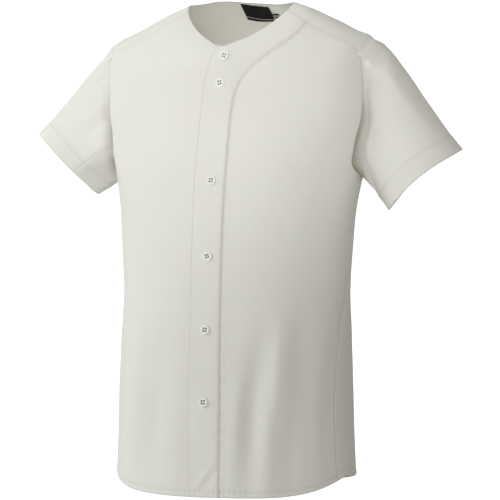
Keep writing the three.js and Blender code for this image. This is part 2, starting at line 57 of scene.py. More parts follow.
# The body in level rings, hem first: half width, how far the side line lies behind the origin,
# depths in front of it and behind it, heights at the side, centre front and centre back, the shape
# of the fall between them, how much higher the wearer's right side lies, and the oval's power.
RINGS = np.array([
    (195, -20, 124, 106, -735, -770, -752, 0, 8, 2.3),
    (192, -20, 124, 106, -672, -688, -680, 0, 5, 2.3),
    (190, -20, 124, 106, -599, -603, -601, 0, 2, 2.3),
    (187, -19, 121, 105, -520, -520, -520, 1, 0, 2.3),
    (184, -18, 117, 104, -452, -452, -452, 1, 0, 2.3),
    (188, -18, 112, 106, -388, -388, -388, 1, 3, 2.3),
    (193, -17, 106, 109, -329, -331, -329, 1, 9, 2.3),
    (203, -14, 102, 113, -274, -282, -272, 1, 17, 2.3),
    (212, -11, 96, 115, -232, -240, -228, 1, 17, 2.3),
    (218, -8, 90, 116, -188, -203, -183, 1.1, 14, 2.3),
    (221, -5, 86, 114, -143, -170, -136, 1.1, 9, 2.3),
    (223, -2, 84, 108, -82, -142, -86, 1.2, 4, 2.3),
    (215, 0, 84, 99, -53, -121, -61, 1.2, 0, 2.3),
    (189, 0, 83, 88, -42, -107, -41, 1.2, 0, 2.25),
    (155, 0, 82, 76, -27, -95, -23, 1.3, 0, 2.1),
    (121, 0, 77, 65, -11, -82, -8, 1.3, 0, 1.85),
    (90, 0, 68, 56, 0, -69, 5, 1.1, 0, 1.55),
], float)
ARMPIT_LEVEL = 7
TIP_LEVEL = 12
NECK_LEVEL = 16
# The notch at the front of the neckline
V_DEPTH = 4
V_HALF_WIDTH = 28
V_CENTRE = -4
# The direction to the photograph's right, on the ground
PICTURE_RIGHT = np.array((0.92, 0.39))
# Waves of the left shoulder tip: place towards the photograph's right, half width and rise. They
# fade in upwards from one height.
SHOULDER_TIP_WAVES = ((186, 20, -3), (231, 17, 8), (268, 26, 4))
TIP_WAVES_FROM = -200
TIP_WAVES_FADE = 90
# Waves of the back neckline: place across the neck, half width and rise
BACK_NECK_WAVES = ((-50, 32, 5), (45, 30, -2.5))

# Level, then the angles from centre front of the side panel's front and back seams
SIDE_SEAM = np.array([
    (0, 77, 116), (2, 77, 115), (3, 82, 113), (4, 90, 111), (5, 97, 109), (7, 97, 108),
], float)
# The armhole from the armpit up: row levels at centre front and centre back, then the angle and
# level of its front edge and of its back edge
ARMHOLE = np.array([
    (7, 7, 97, 7, 108, 7),
    (7.45, 7.6, 88, 7.12, 109.5, 7.5),
    (7.9, 8.2, 82.2, 7.45, 110.5, 8),
    (8.35, 8.8, 81.6, 7.95, 111, 8.55),
    (8.8, 9.4, 82.4, 8.5, 111, 9.15),
    (9.25, 10, 83.4, 9.05, 110.3, 9.8),
    (9.7, 10.6, 83.7, 9.6, 108.5, 10.45),
    (10.15, 11.2, 83.5, 10.15, 105, 11),
    (10.6, 11.8, 83, 10.6, 100, 11.4),
    (11.05, 12.3, 82.6, 11, 94, 11.65),
    (11.5, 12.8, 82, 11.4, 87.5, 11.75),
    (12, 13.3, 81.5, 11.7, 81.5, 11.7),
], float)
# Level and angle of the shoulder seam, from the shoulder tip up to the neck
SHOULDER_SEAM = np.array([(12, 81.5), (13, 80), (14.5, 77), (16, 80)], float)
# Level and place of the left front's button edge, in millimetres from the centre line
FREE_EDGE = np.array([(0, -27), (3, -27), (8, -30), (11, -28), (13, -21), (16, -11)], float)
# The lap: where the right front ends under the left one, how far the left one stands off there,
# where it has settled again, and how far past the button edge the right one's close columns reach
RIGHT_FRONT_END = 12
LAP_LIFT = 1.8
LAP_SETTLED = 38
PAST_LAP = 20
# How far behind the origin the upright line lies that the cloth faces away from
BODY_AXIS = 15

# Broad folds: middle angle, half spread, lowest and highest point, lean and depth
BROAD_FOLDS = (
    (52, 11, -745, -470, -8, 3.5),
    (32, 9, -730, -560, 5, -2.5),
    (-60, 12, -740, -500, 8, 3),
    (140, 12, -700, -430, 10, -4),
    (-136, 12, -710, -400, -12, -4.5),
    (176, 14, -650, -420, 0, -3),
)

# Rows of the body's panels and steps round the armhole. The side panel takes SIDE_STEPS of the
# loop, and the under panel of a sleeve reaches UNDER_STEPS up from it at front and back.
ARMHOLE_STEPS = len(ARMHOLE) - 1
ARMPIT_ROW = 2 * ARMPIT_LEVEL
TIP_ROW = ARMPIT_ROW + ARMHOLE_STEPS
LAST_ROW = TIP_ROW + 2 * (NECK_LEVEL - TIP_LEVEL)
SIDE_STEPS = 4
LOOP = 2 * ARMHOLE_STEPS + SIDE_STEPS
UNDER_STEPS = 3
CUFF_TOP_OFFSET = 1

# The cuffs as ovals: highest and lowest point, depth, turn and hollow. Then how far the cap rises,
# and at which turn from the lowest point the seams reach the cuff.
SLEEVES = {
    "left": {
        "side": 1, "top": (368, 2, -235), "bottom": (253, -9, -327), "depth": 92, "turn": 24, "hollow": 11,
        "cap_lift": 0.32,
        "side_front": -20, "under_front": 0, "under_back": 102, "side_back": 44,
    },
    "right": {
        "side": -1, "top": (374, 40, -199), "bottom": (268, 30, -297), "depth": 92, "turn": -16, "hollow": 0,
        "cap_lift": 0.25,
        "side_front": 12, "under_front": 62, "under_back": 62, "side_back": 12,
    },
}


# Curves and surfaces of the jersey

def bell(distance, width):
    """A soft bump: 1 at no distance, 0.37 at its width."""
    return np.exp(-((distance / width) ** 2))


def eased(t):
    """A share from 0 to 1 that starts and ends gently."""
    return t * t * (3 - 2 * t)


def look_up(table, column, level):
    """A column of a short table at any level, eased smoothly between its rows."""
    i = int(np.clip(np.searchsorted(table[:, 0], level, side="left") - 1, 0, len(table) - 2))
    low, high = table[i], table[i + 1]
    before, after = table[max(i - 1, 0)], table[min(i + 2, len(table) - 1)]
    span = high[0] - low[0]
    t = min(max((level - low[0]) / span, 0), 1)
    slope_in = span * (high[column] - before[column]) / max(high[0] - before[0], span)
    slope_out = span * (after[column] - low[column]) / max(after[0] - low[0], span)
    return (
        (2 * t**3 - 3 * t**2 + 1) * low[column]
        + (t**3 - 2 * t**2 + t) * slope_in
        + (3 * t**2 - 2 * t**3) * high[column]
        + (t**3 - t**2) * slope_out
    )


def cubic(p0, p1, p2, p3, t):
    """The Catmull-Rom curve between the two middle ones of four points or numbers."""
    return (
        p0 * (-t + 2 * t**2 - t**3)
        + p1 * (2 - 5 * t**2 + 3 * t**3)
        + p2 * (t + 4 * t**2 - 3 * t**3)
        + p3 * (-(t**2) + t**3)
    ) / 2


def curve_through(values, t, closed=False):
    """A smooth curve through rows of values, at positions counted in rows."""
    values = np.asarray(values, float)
    t = np.asarray(t, float)
    count = len(values)
    i = np.floor(t).astype(int)
    if not closed:
        i = np.clip(i, 0, count - 2)
    f = (t - i)[..., None] if values.ndim > 1 else t - i

    def pick(k):
        if closed:
            return values[k % count]
        inside = values[np.clip(k, 0, count - 1)]
        low, high = (k < 0), (k > count - 1)
        shape = (...,) if values.ndim == 1 else (..., None)
        inside = np.where(low[shape], 2 * values[0] - values[1], inside)
        return np.where(high[shape], 2 * values[-1] - values[-2], inside)

    return cubic(*(pick(i + k) for k in (-1, 0, 1, 2)), f)


def ring_points(rings, angle):
    """Points of the body's rings at one angle each."""
    half, shift, front, back, side, fore, rear, dip, lift, power = np.moveaxis(rings, -1, 0)
    across, ahead = np.sin(angle), np.cos(angle)
    deep = np.where(ahead > 0, front, back)
    reach = (abs(across) / half) ** power + (abs(ahead) / deep) ** power
    radius = reach ** (-1 / power)
    share = radius * abs(ahead) / deep
    fall = np.where(dip == 0, eased(share), share ** np.where(dip == 0, 1, dip))
    end = np.where(ahead > 0, fore, rear)
    raised = lift * np.minimum(0, radius * across / half) ** 2
    return np.stack([radius * across, shift - radius * ahead, side + (end - side) * fall + raised], -1)


def fold_height(angle, z):
    """How far the broad folds lift the cloth."""
    height = np.zeros_like(z)
    degrees = np.degrees(angle)
    for middle, spread, low, high, lean, depth in BROAD_FOLDS:
        along = (z - low) / (high - low)
        off = (degrees - middle - lean * (along - 0.5)) / spread
        here = (along > 0) & (along < 1) & (abs(off) < 1)
        height += np.where(here, depth * np.sin(np.pi * along) * (1 + np.cos(np.pi * off)) / 2, 0)
    return height


def body_point(angle, level):
    """The jersey's body by angle from centre front, in radians, and level up from the hem."""
    angle, level = np.broadcast_arrays(np.asarray(angle, float), np.asarray(level, float))
    i = np.clip(np.floor(level), 0, len(RINGS) - 2).astype(int)
    t = (level - i)[..., None]
    last = len(RINGS) - 1
    point = cubic(*(ring_points(RINGS[np.clip(i + k, 0, last)], angle) for k in (-1, 0, 1, 2)), t)
    notch = np.maximum(0, 1 - abs(point[..., 0] - V_CENTRE) / V_HALF_WIDTH)
    above = np.maximum(0, level - NECK_LEVEL + 1)
    point[..., 2] -= np.where(np.cos(angle) > 0, V_DEPTH * notch * above, 0)
    behind = np.clip(-2 * np.cos(angle), 0, 1) * above**2
    for x, width, rise in BACK_NECK_WAVES:
        point[..., 2] += rise * behind * bell(point[..., 0] - x, width)
    out = fold_height(np.arctan2(np.sin(angle), np.cos(angle)), point[..., 2])
    point[..., 0] += out * np.sin(angle)
    point[..., 1] -= out * np.cos(angle)
    return point


def armhole_loop():
    """Angle and level of the armhole: up the front, over the shoulder, down the back, along the side."""
    spots = [(row[2], row[3]) for row in ARMHOLE]
    spots += [(row[4], row[5]) for row in ARMHOLE[-2::-1]]
    front, back = ARMHOLE[0][2], ARMHOLE[0][4]
    spots += [(back + (front - back) * k / SIDE_STEPS, ARMPIT_LEVEL) for k in range(1, SIDE_STEPS)]
    return np.array(spots)


ARMHOLE_LOOP = armhole_loop()


def armhole_spot(t):
    """Angle and level at a position counted in steps round the armhole."""
    return curve_through(ARMHOLE_LOOP, t, closed=True)


def edge_spots(column, rows):
    """Where a body panel's side edge lies in each row: rows of angle and level."""
    below = np.array([
        (look_up(SIDE_SEAM, column, i / 2), i / 2) for i in range(ARMPIT_ROW + 1)
    ])
    above = [ARMHOLE_LOOP[ARMHOLE_STEPS]]
    for i in range(1, 2 * (NECK_LEVEL - TIP_LEVEL) + 1):
        level = TIP_LEVEL + i / 2
        above.append((look_up(SHOULDER_SEAM, 1, level), level))
    spots = np.empty((len(rows), 2))
    low = rows <= ARMPIT_ROW
    high = rows >= TIP_ROW
    middle = ~low & ~high
    spots[low] = curve_through(below, rows[low])
    spots[high] = curve_through(np.array(above), rows[high] - TIP_ROW)
    along = rows[middle] - ARMPIT_ROW
    spots[middle] = armhole_spot(along if column == 1 else 2 * ARMHOLE_STEPS - along)
    return spots


def row_levels(column):
    """Levels of the rows at centre front, or at centre back."""
    below = [i / 2 for i in range(ARMPIT_ROW)]
    armhole = list(ARMHOLE[:, column])
    steps = 2 * (NECK_LEVEL - TIP_LEVEL)
    above = [armhole[-1] + (NECK_LEVEL - armhole[-1]) * i / steps for i in range(1, steps + 1)]
    return np.array(below + armhole + above)


def body_rows():
    """Row positions, close together at the hem and the neckline."""
    hem = [0, 0.025, 0.06, 0.11, 0.17, 0.22, 0.26, 0.3, 0.36, 0.45, 0.56, 0.68, 0.8, 0.9]
    below = [i + k / 11 for i in range(1, ARMPIT_ROW) for k in range(11)]
    armhole = [i + k / 6 for i in range(ARMPIT_ROW, TIP_ROW) for k in range(6)]
    shoulder = [i + k / 5 for i in range(TIP_ROW, LAST_ROW) for k in range(5)]
    neck = [LAST_ROW - 0.13, LAST_ROW - 0.06, LAST_ROW]
    return np.array(hem + below + armhole + shoulder + neck)


BODY_ROWS = body_rows()
# Distances from a seam at which a grid has a column, in millimetres
NEAR_SEAM = (0, 0.9, 2.0, 3.4, 5.2, 7.5, 10)


def run_lengths(path):
    """Lengths along a path from its first point."""
    return np.concatenate([[0], np.cumsum(np.linalg.norm(np.diff(path, axis=0), axis=1))])


def seam_shares(width, count, start=False, end=True):
    """Shares of the way across a panel, with columns close together along its seams."""
    near = np.array(NEAR_SEAM) / width
    shares = np.linspace(near[-1] if start else 0, 1 - near[-1] if end else 1, count)
    parts = [shares]
    if start:
        parts.insert(0, near[:-1])
    if end:
        parts.append(1 - near[-2::-1])
    return np.concatenate(parts)


def smooth_grid(points, rounds):
    """Rounds off ridges inside a grid and leaves its edges where they are."""
    for _ in range(rounds):
        inner = points[1:-1, 1:-1]
        around = (points[:-2, 1:-1] + points[2:, 1:-1] + points[1:-1, :-2] + points[1:-1, 2:]) / 4
        points[1:-1, 1:-1] = inner + (around - inner) * 0.5
    return points


def grid_normals(points, outward):
    """Unit normals of a grid, turned to the side that outward points to."""
    along = np.gradient(points, axis=0)
    across = np.gradient(points, axis=1)
    normals = np.cross(across, along)
    normals /= np.maximum(np.linalg.norm(normals, axis=-1, keepdims=True), 1e-9)
    if np.sum(normals * outward) < 0:
        normals = -normals
    return normals


def away_from_body(points):
    """Level directions from the body's upright line to each point."""
    axis = np.zeros_like(points)
    axis[..., 1] = -BODY_AXIS
    axis[..., 2] = points[..., 2]
    return points - axis


def lap_height(x):
    """How far the left front stands over the right one, by distance from the centre line."""
    t = np.clip((LAP_SETTLED - x) / (LAP_SETTLED - RIGHT_FRONT_END), 0, 1)
    return LAP_LIFT * eased(t)


def front_grid(side):
    """The points of one front, from the button edge to the side seam, armhole and shoulder seam."""
    inner = curve_through(row_levels(0), BODY_ROWS)
    seam = edge_spots(1, BODY_ROWS)
    edge = np.array([look_up(FREE_EDGE, 1, level) for level in inner])
    start = edge if side > 0 else np.full_like(edge, RIGHT_FRONT_END)
    end = np.full_like(edge, LAP_SETTLED) if side > 0 else edge - PAST_LAP
    count = 34 if side > 0 else 20
    near = np.concatenate([[0, 0.012, 0.03], np.linspace(0.05, 1, count)])
    x = start[:, None] + (end - start)[:, None] * near
    ahead = -body_point(0, inner)[:, 1] + np.interp(inner, np.arange(len(RINGS)), RINGS[:, 1])
    angles = np.arctan2(x, ahead[:, None])
    levels = np.repeat(inner[:, None], x.shape[1], 1)
    last = angles[:, -1]
    across = np.linalg.norm(
        body_point(last, inner) - body_point(side * np.radians(seam[:, 0]), seam[:, 1]), axis=-1
    )
    shares = np.stack([seam_shares(width * 1.08, 66)[1:] for width in across])
    far_angles = last[:, None] + (side * np.radians(seam[:, :1]) - last[:, None]) * shares
    far_levels = inner[:, None] + (seam[:, 1:] - inner[:, None]) * shares**2
    angles = np.concatenate([angles, far_angles], 1)
    levels = np.concatenate([levels, far_levels], 1)
    points = smooth_grid(body_point(angles, levels), 4)
    if side > 0:
        normals = grid_normals(points, away_from_body(points))
        points += normals * lap_height(points[..., :1])
    return points


def back_grid():
    """The points of the back, from the wearer's left edge to the right one."""
    inner = curve_through(row_levels(1), BODY_ROWS)
    seam = edge_spots(2, BODY_ROWS)
    middle = np.maximum(np.radians(seam[:, 0] + 18), math.radians(126))
    edge = np.radians(seam[:, 0])
    across = np.linalg.norm(body_point(middle, inner) - body_point(edge, seam[:, 1]), axis=-1)
    shares = np.stack([seam_shares(width * 1.08, 22)[::-1] for width in across])
    edge_angles = middle[:, None] + (edge - middle)[:, None] * shares
    edge_levels = inner[:, None] + (seam[:, 1] - inner)[:, None] * shares**2
    turn = np.linspace(0, 1, 86)[1:-1]
    middle_angles = middle[:, None] + (2 * np.pi - 2 * middle)[:, None] * turn
    middle_levels = np.repeat(inner[:, None], len(turn), 1)
    angles = np.concatenate([edge_angles, middle_angles, 2 * np.pi - edge_angles[:, ::-1]], 1)
    levels = np.concatenate([edge_levels, middle_levels, edge_levels[:, ::-1]], 1)
    return smooth_grid(body_point(angles, levels), 10)


def side_grid(side):
    """The points of one side panel, whose top is the bottom of the armhole."""
    rows = BODY_ROWS[BODY_ROWS <= ARMPIT_ROW]
    front, back = edge_spots(1, rows), edge_spots(2, rows)
    width = np.linalg.norm(
        body_point(np.radians(front[:, 0]), front[:, 1]) - body_point(np.radians(back[:, 0]), back[:, 1]),
        axis=-1,
    )
    shares = np.stack([seam_shares(max(w, 26), 12, start=True) for w in width])
    top = armhole_spot(2 * ARMHOLE_STEPS + SIDE_STEPS * shares[-1])
    angles = back[:, :1] + (front[:, :1] - back[:, :1]) * shares
    levels = np.repeat(rows[:, None] / 2, shares.shape[1], 1)
    ease = np.clip((rows - ARMPIT_ROW + 2) / 2, 0, 1)[:, None] ** 2
    angles += ease * (top[:, 0] - angles[-1])
    levels += ease * (top[:, 1] - levels[-1])
    return body_point(side * np.radians(angles), levels)


def cuff_turns(spots, spec):
    """The turn, in degrees from the cuff's lowest point, at which each armhole point reaches the cuff."""
    last = 2 * ARMHOLE_STEPS
    marks = (
        (0, spec["side_front"]),
        (UNDER_STEPS, spec["under_front"]),
        (ARMHOLE_STEPS + CUFF_TOP_OFFSET, 180),
        (last - UNDER_STEPS, 360 - spec["under_back"]),
        (last, 360 - spec["side_back"]),
        (LOOP, 360 + spec["side_front"]),
    )
    run = run_lengths(np.vstack([spots, spots[:1]]))
    return np.interp(run, [run[k] for k, turn in marks], [turn for k, turn in marks])


def sleeve_form(spec):
    """What every line of a sleeve shares: its cuff oval, its axis and its armhole."""
    side = spec["side"]
    spots = body_point(side * np.radians(ARMHOLE_LOOP[:, 0]), ARMHOLE_LOOP[:, 1])
    top = np.array(spec["top"], float) * (side, 1, 1)
    bottom = np.array(spec["bottom"], float) * (side, 1, 1)
    middle = (top + bottom) / 2
    up_half = top - middle
    turn = math.radians(spec["turn"])
    backward = np.array((-side * math.sin(turn), math.cos(turn), 0))
    backward -= up_half * (backward @ up_half) / (up_half @ up_half)
    back_half = backward / np.linalg.norm(backward) * spec["depth"] / 2
    axis = middle - spots.mean(0)
    return {
        "side": side, "middle": middle, "up_half": up_half, "back_half": back_half,
        "axis": axis / np.linalg.norm(axis), "root": spots.mean(0), "hollow": spec["hollow"],
        "cap_lift": spec["cap_lift"],
        "lowest": spots[0][2], "highest": spots[:, 2].max(), "turns": cuff_turns(spots, spec),
    }


# How many armhole steps the sleeve's rounding spreads over, at the least and beside the cap
LEAST_ROUNDING = 0.02
CAP_ROUNDING = 0.85


def sleeve_points(form, t, shares):
    """Points of a sleeve at armhole positions t and shares of the way to the cuff."""
    t = np.asarray(t, float) % LOOP
    spot = armhole_spot(t)
    start = body_point(form["side"] * np.radians(spot[:, 0]), spot[:, 1])
    steady = form["turns"][:-1] - np.arange(LOOP) * 360 / LOOP
    turn = np.radians(curve_through(steady, t, closed=True) + t * 360 / LOOP)[:, None]
    height = np.clip((start[:, 2:] - form["lowest"]) / (form["highest"] - form["lowest"]), 0, 1)
    end = form["middle"] - form["up_half"] * np.cos(turn) - form["back_half"] * np.sin(turn)
    end = end - form["axis"] * form["hollow"] * np.sin(turn) ** 2
    chord = end - start
    span = np.linalg.norm(chord, axis=1, keepdims=True)
    chord = chord / span
    lifted = chord + np.array((0, 0, 1)) * form["cap_lift"] * height**2
    start_pull = lifted / np.linalg.norm(lifted, axis=1, keepdims=True) * span
    along = chord + form["axis"]
    end_pull = along / np.linalg.norm(along, axis=1, keepdims=True) * span
    s = np.asarray(shares, float)[:, None, None]
    s2, s3 = s**2, s**3
    return (
        start * (2 * s3 - 3 * s2 + 1)
        + start_pull * (s3 - 2 * s2 + s)
        + end * (3 * s2 - 2 * s3)
        + end_pull * (s3 - s2)
    )


def rounded_sleeve(form, t, shares):
    """The sleeve with its cap rounded off beyond the armhole's corner at the shoulder tip."""
    shares = np.asarray(shares, float)
    start = np.clip(shares / 0.16, 0, 1)
    end = np.clip((0.85 - shares) / 0.4, 0, 1)
    spread = LEAST_ROUNDING + CAP_ROUNDING * eased(start) * eased(end)
    total = np.zeros(len(shares))
    points = 0
    for offset in np.linspace(-2, 2, 9):
        weight = np.exp(-0.5 * (offset / spread) ** 2)
        points = points + weight[:, None, None] * sleeve_points(form, t + offset, shares)
        total += weight
    return points / total[:, None, None]


SLEEVE_SHARES = np.concatenate([
    [0, 0.006, 0.014, 0.024, 0.036], np.linspace(0.05, 0.8, 44), np.linspace(0.81, 0.985, 18), [0.993, 1],
])


def sleeve_steps(first, last, per_step):
    """Armhole positions of a sleeve panel, close together at its two seams."""
    near = np.array([0, 0.05, 0.12, 0.2, 0.32, 0.46])
    middle = np.linspace(first + 0.62, last - 0.62, int((last - first - 1.24) * per_step))
    return np.concatenate([first + near, middle, last - near[::-1]])


# Creases, hems and seams, and the shade painted beside them

# Creases of the body as paths of angle in degrees and height, then half width and height in
# millimetres: troughs are below zero.
BODY_CREASES = (
    (((30, -770), (33, -640), (38, -520)), 15, -3.2),
    (((41, -770), (44, -650), (50, -500)), 14, 3.0),
    (((53, -765), (55, -640), (62, -480)), 15, -3.4),
    (((66, -760), (66, -640), (72, -500)), 13, 2.6),
    (((18, -770), (21, -690), (24, -600)), 16, 1.6),
    (((90, -462), (85, -492), (80, -520)), 7, -2.2),
    (((98, -440), (90, -448), (76, -470)), 9, 1.6),
    (((84, -205), (72, -240), (60, -300)), 13, -2.6),
    (((80, -240), (66, -285), (56, -350)), 14, 2.0),
    (((-83, -190), (-70, -235), (-60, -300)), 14, -2.6),
    (((-80, -235), (-66, -290), (-58, -360)), 15, 2.0),
    (((-40, -770), (-38, -660), (-33, -540)), 17, -2.2),
    (((-56, -760), (-52, -640), (-50, -520)), 15, 2.4),
    (((-72, -745), (-68, -640), (-66, -540)), 14, -2.4),
    (((-24, -770), (-22, -700), (-20, -620)), 16, 1.2),
    (((75, -105), (74, -150), (72, -205)), 26, 3.2),
    (((-75, -105), (-74, -150), (-72, -205)), 26, 2.6),
    (((110, -170), (130, -215), (150, -235)), 15, -2.8),
    (((109, -225), (128, -262), (146, -280)), 16, 2.2),
    (((-110, -165), (-128, -205), (-152, -228)), 15, -3.0),
    (((-109, -220), (-130, -255), (-148, -290)), 16, 2.2),
    (((150, -750), (153, -620), (160, -480), (168, -380)), 18, 3.2),
    (((165, -750), (168, -640), (176, -520)), 17, -3.0),
    (((-176, -750), (-178, -600), (-174, -430)), 18, 2.6),
    (((-160, -750), (-158, -610), (-165, -470)), 17, -3.2),
    (((-147, -750), (-143, -600), (-150, -420)), 18, 3.0),
    (((130, -745), (128, -640), (124, -500)), 16, 2.8),
    (((-128, -745), (-124, -620), (-122, -500)), 16, 2.4),
    (((102, -735), (104, -640), (103, -520)), 12, -1.8),
    (((-100, -735), (-98, -630), (-102, -520)), 12, 1.8),
    (((180, -60), (178, -110), (179, -160)), 22, -1.4),
    (((8, -715), (0, -738), (-9, -757)), 4, 1.3),
    (((11, -722), (3, -746), (-5, -762)), 5, -1.0),
    (((-12, -107), (-9, -112), (-6, -117)), 3, -0.9),
)
# Creases of each sleeve as paths of armhole position and share of the way to the cuff
SLEEVE_CREASES = {
    "left": (
        (((10.4, 0.14), (9.3, 0.08), (8.2, 0.015)), 3.2, 1.5),
        (((10.7, 0.09), (9.8, 0.05), (8.9, 0.01)), 3.4, -1.7),
        (((9.0, 0.17), (8.2, 0.13), (7.6, 0.07)), 5, -1.3),
        (((7.2, 0.0), (7.0, 0.14), (7.4, 0.3)), 7, 1.4),
        (((6.2, 0.0), (6.0, 0.2), (6.8, 0.46)), 9, -2.4),
        (((4.6, 0.02), (4.4, 0.3), (4.6, 0.62)), 9, 2.6),
        (((8.2, 0.02), (5.4, 0.05), (3.0, 0.08), (1.0, 0.12)), 10, -8),
        (((6.0, 0.08), (3.4, 0.16), (1.6, 0.26)), 9, -2.6),
        (((3.0, 0.1), (2.6, 0.35), (2.4, 0.7)), 10, -3.0),
        (((13.4, 0.0), (13.6, 0.2), (13.2, 0.5)), 9, 1.8),
        (((15.6, 0.0), (15.8, 0.25), (15.4, 0.6)), 10, -2.4),
        (((18.4, 0.0), (18.8, 0.3), (18.4, 0.7)), 10, 2.4),
        (((22.5, 0.05), (23.0, 0.4), (22.8, 0.8)), 8, -2.4),
    ),
    "right": (
        (((8.4, 0.0), (8.2, 0.14), (8.7, 0.3)), 7, -1.4),
        (((8.0, 0.02), (5.4, 0.05), (3.0, 0.08), (1.0, 0.12)), 9, -4.5),
        (((1.7, 0.02), (1.4, 0.3), (1.3, 0.65), (1.4, 0.98)), 17, -6.5),
        (((6.6, 0.0), (6.2, 0.24), (6.6, 0.5)), 10, 2.0),
        (((5.2, 0.0), (4.9, 0.26), (5.2, 0.5)), 9, -1.8),
        (((2.8, 0.02), (2.6, 0.3), (2.4, 0.6)), 9, -2.2),
        (((13.2, 0.0), (13.5, 0.22), (13.1, 0.52)), 9, -2.0),
        (((15.4, 0.0), (15.7, 0.25), (15.2, 0.62)), 10, 2.2),
        (((17.6, 0.0), (18.0, 0.28), (17.7, 0.66)), 10, -2.4),
        (((23.0, 0.05), (23.4, 0.4), (23.2, 0.8)), 8, -2.0),
    ),
}
# The facing's stitch line on the left front, from the hem up the placket and round the neckline,
# as angle in degrees and level
FACING_LINE = np.array([
    (11.2, 0), (11.2, 0.6), (11.8, 1.8), (11.5, 3.45), (11.8, 5), (13.2, 7.45), (14, 9), (14.8, 9.85),
    (16.8, 10.65), (20.8, 11.45), (28.6, 12.5), (36.5, 13.4), (45.8, 14.0), (54, 14.25), (63, 14.4),
    (71, 14.55), (77, 14.7),
])


def level_at(angle, z):
    """The level at which the body reaches a height, at one angle."""
    low, high = 0.0, float(NECK_LEVEL)
    for _ in range(30):
        middle = (low + high) / 2
        if body_point(angle, middle)[..., 2] < z:
            low = middle
        else:
            high = middle
    return (low + high) / 2


def body_path(spots):
    """A crease's path on the body, from angles and heights."""
    corners = np.array([(math.radians(a), level_at(math.radians(a), z)) for a, z in spots])
    t = np.linspace(0, len(corners) - 1, 9)
    steps = curve_through(corners, t)
    return body_point(steps[:, 0], steps[:, 1])


def sleeve_path(form, spots):
    steps = curve_through(np.array(spots), np.linspace(0, len(spots) - 1, 9))
    return np.array([sleeve_points(form, [t], [max(share, 0)])[0, 0] for t, share in steps])


def distance_to_path(points, path):
    """How far each point lies from a path, and its share of the way along."""
    gap = np.full(points.shape[:-1], 1e9)
    along = np.zeros(points.shape[:-1])
    for k, (a, b) in enumerate(zip(path[:-1], path[1:])):
        step = b - a
        t = np.clip((points - a) @ step / (step @ step), 0, 1)
        here = np.linalg.norm(points - a - t[..., None] * step, axis=-1)
        nearer = here < gap
        gap = np.where(nearer, here, gap)
        along = np.where(nearer, (k + t) / (len(path) - 1), along)
    return gap, along


def crease_height(points, creases):
    """The height of all creases at each point; creases are paths with a half width and a height."""
    height = np.zeros(points.shape[:-1])
    for path, width, rise in creases:
        gap, along = distance_to_path(points, path)
        fade = 0.25 + 0.75 * np.sin(np.pi * np.clip(along, 0, 1)) ** 0.8
        ends = np.minimum(*(np.linalg.norm(points - end, axis=-1) for end in (path[0], path[-1])))
        beyond = np.where((along <= 0) | (along >= 1), bell(ends, width) ** 0.6, 1)
        height += rise * fade * beyond * bell(gap, width)
    return height


def arc_lengths(points, axis):
    """Lengths along a grid from its first row or column, in millimetres."""
    steps = np.linalg.norm(np.diff(points, axis=axis), axis=-1)
    lengths = np.cumsum(steps, axis=axis)
    shape = list(points.shape[:-1])
    shape[axis] = 1
    return np.concatenate([np.zeros(shape), lengths], axis=axis)


def edge_distances(points):
    """Distances of each grid point from the first and last row and the first and last column."""
    up = arc_lengths(points, 0)
    across = arc_lengths(points, 1)
    return {
        "bottom": up, "top": up[-1:] - up, "start": across, "end": across[:, -1:] - across,
    }


# How high the cloth swells beside a seam
SEAM_SWELL = 0.6
# Depths of the turned-in hem and cuff, and the pitch at which their stitch lines dimple
HEM = {"edge": "bottom", "depth": 9, "pitch": 8}
CUFF = {"edge": "top", "depth": 30, "pitch": 9}
# The right front under the placket: how far from its edge it is free of creases, how wide and how
# far below the left front it lies
FLAT_UNDER_LAP = 60
LAP_WIDTH = 50
LAP_CLEARANCE = 0.9
# Distances of the placket's and the neckline's stitch lines from their edges, where along its 700
# points the facing's stitching starts, and how many columns of the right front the placket hides
PLACKET_SEWING = 2.2
NECK_SEWING = 2.4
FACING_STITCHES_FROM = 12
COLUMNS_UNDER_LAP = 22


def sewn_height(distances, seams, hems):
    """Cloth swells beside its seams, and rolls over at its free edges."""
    height = 0
    for edge in seams:
        height = height - SEAM_SWELL * bell(distances[edge], 1.5)
    for edge in hems:
        height = height - 0.5 * bell(distances[edge], 0.9)
    return height + SEAM_SWELL


def sewn_shade(distances, seams, hems):
    """How much shade is painted into the cloth in the groove of a seam and under a free edge, from 0 to 1.
    """
    shade = 0
    for edge in seams:
        shade = shade + 0.10 * bell(distances[edge], 1.2) + 0.03 * bell(distances[edge], 4)
    for edge in hems:
        shade = shade + 0.34 * bell(distances[edge], 1.2)
    return shade


def line_shade(distance):
    """The soft shadow painted along a line of topstitching."""
    return 0.11 * bell(distance, 3.4) + 0.12 * bell(distance, 1.2)


# An exponent past which nothing is left of a fold's step
FAR_AWAY = 300


def stitched_fold(distance, along, depth, pitch):
    """A turned-in edge: double cloth as far as its stitch line, which dimples."""
    past = distance - depth
    inside = 0.45 / (1 + np.exp(np.minimum(past / 0.8, FAR_AWAY)))
    wander = np.sin(2 * np.pi * along / pitch + 1.3 * np.sin(along / 23)) * (0.6 + 0.4 * np.sin(along / 41))
    return inside - 0.7 * bell(past, 1.7) + 0.4 * bell(past, 5.5) * wander


def facing_path(count):
    """The facing's stitch line on the lapped left front."""
    steps = curve_through(FACING_LINE, np.linspace(0, len(FACING_LINE) - 1, count))
    points = body_point(np.radians(steps[:, 0]), steps[:, 1])
    normals = points - np.array((0, -BODY_AXIS, 0))
    normals[:, 2] = 0
    normals /= np.linalg.norm(normals, axis=1, keepdims=True)
    return points + normals * lap_height(points[:, :1])


